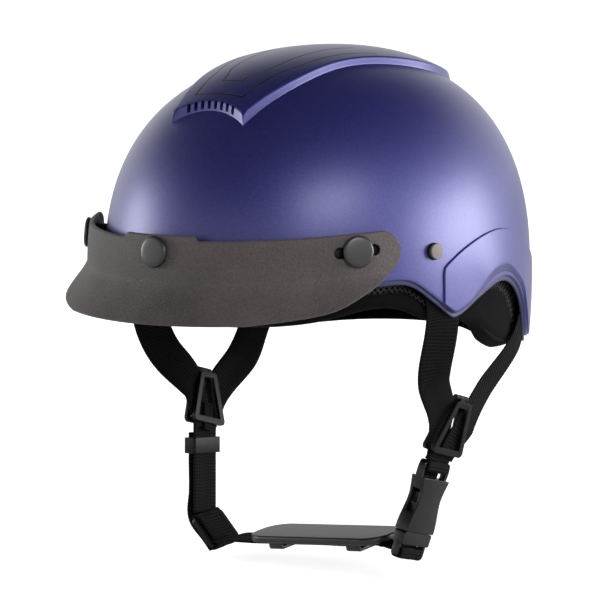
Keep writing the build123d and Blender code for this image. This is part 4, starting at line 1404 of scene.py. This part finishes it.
@dataclass
class Webbing:
    """Flat webbing woven with cross ribs, in millimetres."""

    width: float = 20.0
    thickness: float = 1.4
    rib_pitch: float = 1.9
    rib_depth: float = 0.26
    rib_lean: float = 0.7
    selvage_start: float = 0.86
    selvage_depth: float = 0.18
    edge_round: float = 0.25
    bar_gap: float = 0.3
    across: int = 15
    rows_per_rib: int = 5
    gather_length: float = 22.0

    def run(
        self,
        maker: MeshMaker,
        route: Sequence[Sequence[float]],
        facings: Sequence[Sequence[float]],
        closed: bool = False,
        straight: bool = False,
        pull: tuple[float, float] = (0.0, 0.0),
    ) -> None:
        """Add one run of webbing.

        Args:
            maker: Mesh that takes it.
            route: Points of its middle line.
            facings: The way that it faces at each point.
            closed: Whether its end joins its start.
            straight: Whether the route's legs are kept straight.
            pull: How far each edge is gathered in at the run's end.
        """
        knots = np.array([tuple(point) for point in route], float)
        reached = lengths(knots)
        rows = max(int(reached[-1] / self.rib_pitch * self.rows_per_rib), 12)
        line = evenly(knots, rows) if straight else smooth_line(knots, rows)
        share = np.linspace(0, reached[-1], rows)
        normals = np.array([tuple(facing) for facing in facings], float)
        facing = np.stack([np.interp(share, reached, column) for column in normals.T], axis=1)
        if closed:
            heading = np.roll(line, -1, axis=0) - np.roll(line, 1, axis=0)
            heading[0] = heading[-1] = line[1] - line[-2]
        else:
            heading = np.gradient(line, axis=0)
        heading /= np.linalg.norm(heading, axis=1)[:, None]
        beside = np.cross(facing, heading)
        beside /= np.linalg.norm(beside, axis=1)[:, None]
        facing = np.cross(heading, beside)
        span = np.linspace(-1, 1, self.across)
        place = span * (self.width / 2 - self.edge_round)
        selvage = np.clip((np.abs(span) - self.selvage_start) / (1 - self.selvage_start), 0, 1)
        along = lengths(line)
        phase = along[:, None] / self.rib_pitch + span[None, :] * self.rib_lean
        gather = ramp(along, along[-1] - self.gather_length, along[-1])[:, None]
        pulled = np.where(place[None, :] < 0, pull[0], -pull[1]) * gather * np.abs(span)[None, :]
        hollow = self.rib_depth * (0.5 - 0.5 * np.cos(2 * math.pi * phase)) * (1 - 0.5 * selvage)[None, :]
        level = self.thickness / 2 - hollow - self.selvage_depth * (selvage**2)[None, :]
        flat = line[:, None, :] + beside[:, None, :] * (place[None, :] + pulled)[:, :, None]
        rise = facing[:, None, :] * level[:, :, None]
        rims = np.array([-1, 1]) * self.width / 2 + np.array([pull[0], -pull[1]]) * gather
        edge = line[:, None, :] + beside[:, None, :] * rims[:, :, None]
        loop = np.concatenate([edge[:, :1], flat + rise, edge[:, 1:], (flat - rise)[:, ::-1]], axis=1)
        if closed:
            loop = loop[:-1]
        half = np.linspace(0.01, 0.99, self.across)
        across = np.concatenate([[0.0], half, [1.0], half[::-1], [0.0]])
        maker.grid(loop, across, along * MM, close_rows=closed, close_columns=True, cap_rows=not closed)

    def loop_round(self, maker: MeshMaker, place: Place, bar: float, height: float, depth: float) -> None:
        """Add the loop round a bar that lies along the place's across direction.

        Args:
            maker: Mesh that takes it.
            place: Place of the buckle or slider.
            bar: The bar's place on the up direction.
            height: The bar's height.
            depth: The bar's depth.
        """
        bend = self.thickness
        half_up, half_out = (size / 2 + self.bar_gap + self.thickness / 2 - bend for size in (height, depth))
        points, facings = [], []
        for corner, (up_sign, out_sign) in enumerate(((1, -1), (1, 1), (-1, 1), (-1, -1))):
            for step in range(7):
                turn = math.radians(corner * 90 - 90 + 15 * step)
                up, out = math.cos(turn), math.sin(turn)
                points.append(place.at(0, bar + up_sign * half_up + bend * up, out_sign * half_out + bend * out))
                facings.append(place.up * up + place.facing * out)
        self.run(maker, points + points[:1], facings + facings[:1], closed=True, straight=True)


@dataclass
class Harness:
    """Straps, dividers, buckle, slider and chin cup, in millimetres."""

    web: Webbing = field(default_factory=Webbing)
    rivet: tuple[float, float] = (73.5, 16.0)
    strap_grow: float = -4.6
    front_leans: tuple[tuple[float, float], ...] = ((0, 27), (0, 16), (2.0, 0))
    front_bend: dict[Side, tuple[float, float]] = field(
        default_factory=lambda: {Side.LEFT: (3.6, -25.0), Side.RIGHT: (1.0, -25.0)}
    )
    front_foot: dict[Side, Vector] = field(
        default_factory=lambda: {Side.LEFT: Vector((92, -30, -57)), Side.RIGHT: Vector((92, -31, -57))}
    )
    front_turn: dict[Side, tuple[Vector, Vector]] = field(
        default_factory=lambda: {
            Side.LEFT: (Vector((0.9, -0.43, 0)), Vector((0.88, -0.46, 0))),
            Side.RIGHT: (Vector((0.72, 0.69, 0)), Vector((0.7, 0.71, 0))),
        }
    )
    rear_turn: dict[Side, Vector] = field(
        default_factory=lambda: {Side.LEFT: Vector((0.92, 0.33, -0.1)), Side.RIGHT: Vector((0.75, 0.66, 0))}
    )
    front_guide: tuple[float, float, float] = (-9.5, 5.5, -4.9)
    rear_guide: tuple[float, float, float] = (11.0, -6.0, 6.0)
    guide_heights: tuple[float, float, float] = (17.0, -6.0, -2.2)
    guide_depth: float = 0.85
    front_pull: tuple[float, float] = (4.0, 0.0)
    rear_pull: tuple[float, float] = (0.0, 5.0)
    join_width: float = 8.5
    join_place: tuple[float, float] = (0.4, -2.3)
    join_heights: tuple[float, ...] = (12.0, 4.0, -4.0)
    rear_start: tuple[tuple[float, float, float], ...] = (
        (74.66, 83.94, -7.9), (84.2, 69.5, -28.67), (90.6, 51.5, -49.44), (86.5, 29, -69),
    )
    rear_bearings: tuple[tuple[float, float], ...] = ((133.5, -8), (122, -29), (112.5, -50))
    divider: Place = Place.hanging((82.5, -13, -100), (math.tan(math.radians(14)), math.tan(math.radians(20)), 1))
    buckle: Place = Place(
        Vector((80.5, -16, -105.5)),
        Vector((0, 0.94734, -0.32023)),
        Vector((0.19625, 0.314, 0.92892)),
        Vector((0.98055, -0.06284, -0.18592)),
    )
    slider: Place = Place(
        Vector((71.5, -22, -158.5)), Vector((0, 1, 0)), Vector((0.66913, 0, 0.74314)), Vector((0.74314, 0, -0.66913))
    )
    buckle_bar: tuple[float, float, float] = (-1.6, 3.2, 4.0)
    plug_bar: tuple[float, float, float] = (-50.5165, 3.2, 4.0)
    slider_bars: tuple[tuple[float, float, float], ...] = ((8.4, 3.2, 3.0), (-8.4, 3.2, 3.0))
    side_facing: Vector = field(default_factory=lambda: Vector((-0.99748, -0.0125, -0.0699)))
    chin_ends: tuple[tuple[float, float, float], ...] = ((58, -26, -149.5), (-56, -26, -161))
    chin_up: tuple[float, float, float] = (-0.10037, 0, 0.99495)
    plug_up: tuple[float, float, float] = (0, 0.32023, 0.94734)
    blend_start: float = 0.18
    link_ends: tuple[float, float] = (1.5, 0.5)
    tongue_width: float = 16.0
    tongue_depth: float = -1.9
    tongue_heights: tuple[float, float] = (-2.0, -12.0)
    side_foot: float = 11.0
    side_reach: tuple[float, float] = (-0.02, 0.985)
    bridge_depth: float = -2.6
    bridge_half: float = 9.2
    tail_stand: tuple[float, float] = (4.5, 3.4)
    tail_heights: tuple[float, ...] = (-10.0, 0.0, 10.0)
    tail_places: tuple[float, ...] = (-14.0, 0.0, 21.0)
    chin_clear: tuple[float, float] = (3.2, 2.9)
    # Dark cup round a rivet head: a painted shadow.
    shadow_ring_profile: tuple[tuple[float, float], ...] = (
        (2.2, 1.45), (3.9, 1.45), (4.3, 1.25), (4.55, 0.5), (4.6, -0.5), (2.2, -0.5),
    )

    def guided(self, guide: tuple[float, float, float], depth: float) -> list[Vector]:
        """Route of a strap through the divider, drawn in towards its narrow end.

        Args:
            guide: Where the strap enters across the divider, how far it moves, and its cut end.
            depth: Place in the divider's depth.

        Returns:
            Four points from the top down.
        """
        (start, drift, end), (high, low, cut) = guide, self.guide_heights
        steps = [(start + drift * step / 3, high + (low - high) * step / 3) for step in range(3)]
        return [self.divider.at(across, up, depth) for across, up in (*steps, (end, cut))]

    def strap_set(self, side: Side) -> None:
        """Front and rear strap of one side, and the short join behind the divider.

        Args:
            side: Side of the helmet.
        """
        hang = self.divider
        places = [
            DOME.place(self.rivet[0] + lean, height, self.strap_grow)
            for lean, height in (*self.front_leans, self.front_bend[side])
        ]
        front = [*(place.origin for place in places), self.front_foot[side]]
        front += self.guided(self.front_guide, -self.guide_depth)
        front_facing = [place.facing for place in places[:-1]] + [*self.front_turn[side]] + [hang.facing] * 4
        rear = [*map(Vector, self.rear_start), *self.guided(self.rear_guide, self.guide_depth)]
        rear_facing = [DOME.place(*bearing, self.strap_grow).facing for bearing in self.rear_bearings]
        rear_facing += [self.rear_turn[side]] + [hang.facing] * 4
        across, depth = self.join_place
        join = [hang.at(across, up, depth) for up in self.join_heights]
        name = side.name.lower()
        narrow = Webbing(width=self.join_width)
        for web, piece, route, facing, pull, nodes in (
            (self.web, f"front_strap_{name}_webbing", front, front_facing, self.front_pull, [f"front_strap_{name}"]),
            (self.web, f"rear_strap_{name}_webbing", rear, rear_facing, self.rear_pull, [f"rear_strap_{name}"]),
            (narrow, f"strap_join_{name}", join, [hang.facing] * 3, (0.0, 0.0), []),
        ):
            maker = MeshMaker(piece)
            route, facing = (
                [Vector((item.x * side.value, item.y, item.z)) for item in items] for items in (route, facing)
            )
            web.run(maker, route, facing, pull=pull if side is Side.LEFT else pull[::-1])
            dress(maker.make(), "webbing", nodes)

    def shadow_ring(self, side: Side) -> None:
        """Dark cup under a strap rivet's head: a painted shadow round the rivet in its hole."""
        place = DOME.place(side.value * self.rivet[0], self.rivet[1])
        dress(lathe(f"rivet_collar_{side.name.lower()}", place, self.shadow_ring_profile, 64), "socket_plastic")

    def link(self) -> None:
        """Doubled strap from the left divider round the buckle's bar, and the tongue behind the bar."""
        maker = MeshMaker("buckle_strap_webbing")
        half = self.web.thickness / 2
        for layer in (-half, half):
            ends = [self.divider.at(0, self.link_ends[0], layer), self.buckle.at(0, self.link_ends[1], layer)]
            self.web.run(maker, ends, [self.divider.facing, self.buckle.facing], straight=True)
        self.web.loop_round(maker, self.buckle, *self.buckle_bar)
        tongue = [self.buckle.at(0, up, self.tongue_depth) for up in self.tongue_heights]
        Webbing(width=self.tongue_width).run(maker, tongue, [self.buckle.facing] * 2, straight=True)
        dress(maker.make(), "webbing", ["buckle_strap"])

    def mirrored(self, place: Place) -> Place:
        """The same place on the wearer's right."""
        turned = (place.origin, place.across, place.up, place.facing)
        return Place(*(Vector((-item.x, item.y, item.z)) for item in turned))

    def side_straps(self) -> None:
        """Side strap and its free end on the wearer's right."""
        slider = self.mirrored(self.slider)
        start, foot = self.mirrored(self.divider).origin, slider.at(0, self.side_foot)
        run = foot - start
        maker = MeshMaker("side_strap_webbing")
        ends = [start + run * share for share in self.side_reach]
        self.web.run(maker, ends, [self.side_facing] * 2, straight=True)
        self.web.loop_round(maker, slider, *self.slider_bars[0])
        bridge = [slider.at(0, up, self.bridge_depth) for up in (self.bridge_half, -self.bridge_half)]
        self.web.run(maker, bridge, [slider.facing] * 2, straight=True)
        dress(maker.make(), "webbing", ["side_strap"])
        maker = MeshMaker("strap_tail_webbing")
        on_slider, on_strap = self.tail_stand
        route = [slider.at(0, up, on_slider) for up in self.tail_heights]
        middle, rise = (start + foot) / 2 + self.side_facing * on_strap, run.normalized()
        route += [middle - rise * up for up in self.tail_places]
        self.web.run(maker, route, [slider.facing] * 3 + [self.side_facing] * 3)
        dress(maker.make(), "webbing", ["strap_tail"])

    def chin(self) -> None:
        """Strap under the chin between the helmet and the plug, which rides on neither body."""
        slider = self.mirrored(self.slider)
        plug, foot = self.buckle.at(0, self.plug_bar[0]), slider.at(0, self.slider_bars[1][0])
        left, right = (Vector(end) for end in self.chin_ends)
        route = [plug + (left - plug).normalized() * self.chin_clear[0]]
        route += [left + (right - left) * step / 6 for step in range(7)]
        route += [foot + (right - foot).normalized() * self.chin_clear[1]]
        maker = MeshMaker("chin_strap_webbing")
        self.web.run(maker, route, [self.plug_up] + [self.chin_up] * 8)
        self.web.loop_round(maker, self.buckle, *self.plug_bar)
        self.web.loop_round(maker, slider, *self.slider_bars[1])
        strap = dress(maker.make(), "webbing", ["chin_strap"], body=None)
        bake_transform(strap)

    def build(self) -> None:
        """Make the whole harness."""
        for side in Side:
            self.strap_set(side)
            name = side.name.lower()
            flap = Body.FLAP_LEFT if side is Side.LEFT else Body.FLAP_RIGHT
            Casting(f"divider_frame_{name}", "divider_plastic").build()
            Casting(f"divider_flap_{name}", "divider_plastic", flap).build()
            Casting(f"rear_anchor_{name}", "divider_plastic", edge=0.3).build()
            Casting(f"strap_rivet_{name}", "rivet_plastic", edge=0.3).build()
            # Dark cup of painted shadow round the rivet head.
            self.shadow_ring(side)
            Casting(f"rivet_washer_{name}", "washer_steel", edge=0.2).build()
        self.link()
        self.side_straps()
        self.chin()
        Casting("buckle_socket", "buckle_plastic", edge=1.1).build()
        Casting("buckle_plug", "buckle_plastic", Body.PLUG, 0.7).build()
        Casting("buckle_arm_front", "buckle_plastic", Body.ARM_FRONT, 0.3).build()
        Casting("buckle_arm_back", "buckle_plastic", Body.ARM_BACK, 0.3).build()
        Casting("strap_slider", "slider_plastic", edge=0.8).build()
        Casting("strap_keeper", "slider_plastic", Body.KEEPER, 0.6).build()
        Casting("chin_cup", "cup_rubber", Body.CUP).build()


@dataclass
class Peak:
    """Peak held on by press studs, in millimetres."""

    wall: float = 2.5
    stand: float = 9.6
    top: float = 32.0
    tab_rise: float = 2.5
    tab_half: float = 25.0
    flare_start: float = 11.0
    flare_depth: float = 25.0
    flare_reach: float = 22.5
    flare_power: float = 1.4
    brim_gather: float = 1.7
    slot: tuple[float, float] = (25.0, 6.0)
    slot_reach: tuple[float, float] = (4.0, 16.0)
    notch_depth: float = 0.35
    notch_steps: int = 40
    # Dark pads behind the slot ends: partly a black gasket, partly painted shadow in the gap.
    gasket_and_shadow_size: tuple[float, float] = (4.4, 4.6)
    gasket_and_shadow_overlap: float = 0.8
    gasket_and_shadow_rings: tuple[tuple[float, float], ...] = ((0.9, 5.2), (1.0, 5.5), (1.0, 6.3), (0.9, 6.6))
    side_stud: tuple[float, float] = (51.0, 22.0)
    centre_stud: float = 24.5
    edge_round: float = 0.9
    half_columns: int = 230
    rows: int = 44
    edge_line: tuple[tuple[float, float], ...] = (
        (-144.7, -8.6), (-128.5, -6.9), (-111.0, -4.2), (-99.9, -0.6), (-88.3, 3.9), (-77.8, 9.4), (-71.8, 15.2),
        (-69.3, 21.5), (-70.2, 26.6), (-72.6, 30.0), (-76.4, 32.0),
    )
    cap_gap: float = 0.3
    cap_profile: tuple[tuple[float, float], ...] = (
        (0.05, 2.5), (3.0, 2.47), (5.6, 2.36), (6.9, 2.2), (7.5, 2.02), (7.95, 1.7), (8.2, 1.25), (8.25, 0.75),
        (8.15, 0.35), (7.9, 0.1), (7.4, 0.0), (5.0, 0.0), (2.3, 0.0), (2.28, -0.3), (2.28, -7.6), (2.0, -8.0),
        (0.05, -8.0),
    )

    def stud(self, side: Side) -> Place:
        """Place of a side's stud on the shell."""
        return DOME.place(side.value * self.side_stud[0], self.side_stud[1])

    def ellipse(self, height: np.ndarray | float, inset: float) -> tuple[np.ndarray, np.ndarray]:
        """Half width and reach of the peak at a height.

        Args:
            height: Heights of the places.
            inset: Depth inside the outer face.

        Returns:
            The two half axes.
        """
        share = np.interp(height, PROFILE_HEIGHTS, PROFILE_RADII) / DOME.half_width
        drop = np.clip(self.flare_start - height, 0, None) / self.flare_depth
        stand = self.stand + self.flare_reach * drop**self.flare_power - inset
        return DOME.half_width * share + stand, DOME.reach * share + stand

    def edges(self, bearing: np.ndarray, lines: Sequence[np.ndarray], starts: Sequence[float]) -> list[np.ndarray]:
        """Heights of the peak's lower and upper edge.

        Args:
            bearing: Bearings at which they are read.
            lines: Place along the helmet and height of each edge, from front to back.
            starts: Height from which each edge's search starts, which its front keeps.

        Returns:
            One height for each bearing, for each edge.
        """
        heights = []
        for line, start in zip(lines, starts):
            height = np.full(len(bearing), float(start))
            for _ in range(12):
                along = DOME.centre - self.ellipse(height, 0.0)[1] * np.cos(bearing)
                height = 0.5 * height + 0.5 * np.interp(along, line[:, 0], line[:, 1])
            heights.append(height)
        return heights

    def plate(self) -> None:
        """Swept plate with rounded edges, a centre tab, two slots and the dark pads of gasket and painted shadow
        behind them.
        """
        curve = smooth_line(self.edge_line, 900)
        tip = int(np.argmax(curve[:, 0]))
        tip_along, tip_height = curve[tip]
        last = math.acos((DOME.centre - tip_along) / float(self.ellipse(tip_height, 0.0)[1]))
        spread = 1 - (1 - np.linspace(0, 1, self.half_columns)) ** self.brim_gather
        bearing = np.concatenate([-spread[::-1][:-1], spread]) * last
        low, high = self.edges(bearing, (curve[: tip + 1], curve[tip:][::-1]), (0.0, self.top))
        low[[0, -1]] = high[[0, -1]] = tip_height
        out = self.ellipse(self.top, 0.0)[0] * np.abs(np.sin(bearing))
        high = high + self.tab_rise * (1 - ramp(out, self.tab_half - 3.0, self.tab_half))
        span = high - low
        rounding = np.minimum(self.edge_round, span * 0.45)
        outer = [(low + rounding * rise, self.edge_round * inset) for rise, inset in QUARTER]
        for share in np.linspace(0, 1, self.rows)[1:-1]:
            outer.append((low + rounding + (span - 2 * rounding) * share, 0.0))
        outer += [(high - rounding * rise, self.edge_round * inset) for rise, inset in reversed(QUARTER)]
        inner = [(height, self.wall - inset) for height, inset in reversed(outer)]
        rows = []
        for height, inset in outer + inner:
            wide, reach = self.ellipse(height, inset)
            rows.append(np.stack([wide * np.sin(bearing), DOME.centre - reach * np.cos(bearing), height], axis=1))
        maker = MeshMaker("peak_plate")
        maker.grid(np.transpose(np.array(rows), (1, 0, 2)), close_columns=True, cap_rows=True)
        plate = maker.make()
        for side in Side:
            self.cut_slot(plate, side)
            self.gasket_and_shadow_pads(side)
        dress(plate, "peak_plastic", ["peak"])

    def gasket_and_shadow_pads(self, side: Side) -> None:
        """Dark pads behind the two ends of a slot: partly a black gasket, partly painted shadow in the gap behind the
        slot.

        Args:
            side: Side of the helmet.
        """
        place = self.stud(side)
        turns = np.linspace(0, 2 * math.pi, 32, endpoint=False)
        long, tall = self.gasket_and_shadow_size
        for hand, end in ((-1, "aft"), (1, "fore")):
            middle = hand * (self.slot[0] / 2 - long + self.gasket_and_shadow_overlap)
            rows = [
                [tuple(place.at(middle + long * share * math.cos(a), tall * share * math.sin(a), out)) for a in turns]
                for share, out in self.gasket_and_shadow_rings
            ]
            maker = MeshMaker(f"slot_well_{side.name.lower()}_{end}")
            maker.grid(np.array(rows), close_columns=True, cap_rows=True)
            dress(maker.make(), "socket_plastic")

    def cut_slot(self, plate: bpy.types.Object, side: Side) -> None:
        """Cut a side stud's slot with its ratchet notches through the plate.

        Args:
            plate: The peak's plate, which is cut.
            side: Side of the helmet.
        """
        place = self.stud(side)
        length, height = self.slot
        half, bend = length / 2 - height / 2, height / 2
        outline = []
        for hand in (1, -1):
            for step in range(13):
                turn = math.radians(90 * hand - 180 * step / 12)
                outline.append((hand * half + bend * math.cos(turn), bend * math.sin(turn)))
            for index, across in enumerate(np.linspace(hand * half, -hand * half, self.notch_steps + 1)[1:-1]):
                outline.append((across, -hand * (bend - self.notch_depth * (index % 4 == 1))))
        ring = np.array([[tuple(place.at(x, y, out)) for x, y in outline] for out in self.slot_reach])
        maker = MeshMaker(f"slot_{side.name.lower()}")
        maker.grid(ring, close_columns=True, cap_rows=True)
        cutter = maker.make()
        cut = plate.modifiers.new("slot", "BOOLEAN")
        cut.operation = "DIFFERENCE"
        cut.object = cutter
        cut.solver = "EXACT"
        apply_all(plate)
        bpy.data.objects.remove(cutter)

    def cap(self, name: str, place: Place, body: Body) -> None:
        """Press stud cap with a slightly domed face, and its stem.

        Args:
            name: Which stud it is.
            place: Place of the stud on the shell.
            body: Body that the cap moves with.
        """
        profile = [(radius, self.stand + self.cap_gap + out) for radius, out in self.cap_profile]
        piece = lathe(f"stud_cap_{name}_face", place, profile, 96)
        smooth_by_angle(piece, 50)
        dress(piece, "cap_plastic", [f"stud_cap_{name}"], body=body)

    def build(self) -> None:
        """Make the plate, the sockets and the caps."""
        self.plate()
        studs = {
            "centre": (DOME.place(0, self.centre_stud), Body.CAP_CENTRE),
            "left": (self.stud(Side.LEFT), Body.CAP_LEFT),
            "right": (self.stud(Side.RIGHT), Body.CAP_RIGHT),
        }
        for name, (place, body) in studs.items():
            Casting(f"stud_socket_{name}", "socket_plastic", edge=0.2).build()
            self.cap(name, place, body)


# ---- Studio ----


@dataclass(frozen=True)
class Lamp:
    """Softbox of the studio that faces the helmet, in metres and watts."""

    name: str
    place: tuple[float, float, float]
    size: tuple[float, float]
    power: float

    def build(self) -> None:
        """Hang the softbox and turn it to the helmet."""
        data = bpy.data.lights.new(self.name, "AREA")
        data.shape = "RECTANGLE"
        data.size, data.size_y = self.size
        data.energy = self.power
        lamp = bpy.data.objects.new(self.name, data)
        lamp.location = self.place
        lamp.rotation_euler = (-Vector(self.place)).to_track_quat("-Z", "Y").to_euler()
        lamp.visible_camera = False
        bpy.context.scene.collection.objects.link(lamp)


@dataclass
class Studio:
    """Pale floor, soft lamps, white sweep and the camera."""

    floor_level: float = -0.1745
    floor_radius: float = 6.0
    ambient: float = 0.5
    sweep_top: tuple[float, float] = (0.26, 0.6)
    ceiling: float = 0.03
    paper: float = 0.5
    paper_seen: float = 0.88
    glow_seen: float = 0.66
    glow_mirrored: float = 0.25
    lamps: tuple[Lamp, ...] = (
        Lamp("front_box", (-1.6, -0.66, 0.26), (0.8, 0.6), 11.0),
        Lamp("side_box", (1.32, 1.05, 0.06), (1.1, 0.62), 26.0),
        Lamp("fill_box", (1.45, -0.62, 0.85), (0.9, 0.5), 12.0),
    )
    lens: float = 170.9
    film_width: float = 36.0
    camera_place: tuple[float, float, float] = (0.94596, -1.23635, 0.25969)
    camera_axes: tuple[tuple[float, float, float], ...] = (
        (0.79303, 0.60707, -0.05057), (-0.06938, 0.17248, 0.98257), (0.60521, -0.77570, 0.17891),
    )

    def world(self) -> None:
        """White sweep low down and a darker ceiling, with plain light for matt surfaces."""
        world = bpy.data.worlds.new("sweep")
        bpy.context.scene.world = world
        world.use_nodes = True
        mix = Mixer(world.node_tree)
        background = world.node_tree.nodes["Background"]
        path = mix.put("ShaderNodeLightPath").outputs
        seen = mix.math("MAXIMUM", path["Is Camera Ray"], path["Is Glossy Ray"])
        seen = mix.math("MAXIMUM", seen, path["Is Transmission Ray"])
        place = mix.put("ShaderNodeTexCoord")
        split = mix.put("ShaderNodeSeparateXYZ")
        mix.join(place.outputs["Generated"], split.inputs[0])
        low, high = self.sweep_top
        ceiling = mix.put(
            "ShaderNodeMapRange", interpolation_type="SMOOTHSTEP", From_Min=low, From_Max=high,
            To_Min=1.0, To_Max=self.ceiling,
        )
        mix.join(split.outputs[2], ceiling.inputs["Value"])
        sweep = mix.math("MAXIMUM", path["Is Camera Ray"], ceiling.outputs[0])
        light = mix.plus(mix.times(seen, sweep), mix.times(mix.minus(1.0, seen), self.ambient))
        mix.join(light, background.inputs["Strength"])
        background.inputs["Color"].default_value = (1.0, 1.0, 1.0, 1.0)

    def floor(self) -> None:
        """Pale floor that keeps the object's shadow."""
        bpy.ops.mesh.primitive_circle_add(
            vertices=96, radius=self.floor_radius, fill_type="NGON", location=(0, 0, self.floor_level)
        )
        floor = bpy.context.active_object
        floor.name = "floor"
        bpy.ops.object.transform_apply(location=True, rotation=True, scale=True)
        material, mix, shader = new_material("floor_paper")
        path = mix.put("ShaderNodeLightPath").outputs
        seen = path["Is Camera Ray"]
        mix.join(mix.blend(seen, (self.paper,) * 3, (self.paper_seen,) * 3), shader.inputs["Base Color"])
        mix.fill(shader, Roughness=0.9)
        glow = mix.put("ShaderNodeEmission")
        shown = mix.math("MAXIMUM", path["Is Glossy Ray"], path["Is Transmission Ray"])
        strength = mix.plus(mix.times(seen, self.glow_seen), mix.times(shown, self.glow_mirrored))
        mix.join(strength, glow.inputs["Strength"])
        both = mix.put("ShaderNodeAddShader")
        mix.join(shader.outputs[0], both.inputs[0])
        mix.join(glow.outputs[0], both.inputs[1])
        mix.join(both.outputs[0], mix.tree.nodes["Material Output"].inputs["Surface"])
        floor.data.materials.append(material)

    def camera(self) -> None:
        """Camera at the photograph's place."""
        data = bpy.data.cameras.new("camera")
        data.lens = self.lens
        data.sensor_width = self.film_width
        data.clip_end = 50.0
        camera = bpy.data.objects.new("camera", data)
        turn = Matrix(self.camera_axes).transposed()
        camera.matrix_world = Matrix.Translation(self.camera_place) @ turn.to_4x4()
        bpy.context.scene.collection.objects.link(camera)
        bpy.context.scene.camera = camera

    def build(self) -> None:
        """Set the whole studio."""
        bpy.context.scene.view_settings.view_transform = "Standard"
        self.world()
        for lamp in self.lamps:
            lamp.build()
        clear_selection()
        self.floor()
        self.camera()


def main() -> None:
    """Build the finishes, the helmet and the studio."""
    logging.basicConfig(level=logging.INFO, format="%(name)s: %(message)s")
    grain_group()
    flake_group()
    weave_group()
    for finish in (*FINISHES, ShellPaint(), CushionCloth()):
        finish.build()
    for assembly in (Shell(), Lining(), Cushion(), Peak(), Harness(), Studio()):
        assembly.build()


if __name__ == "__main__":
    main()
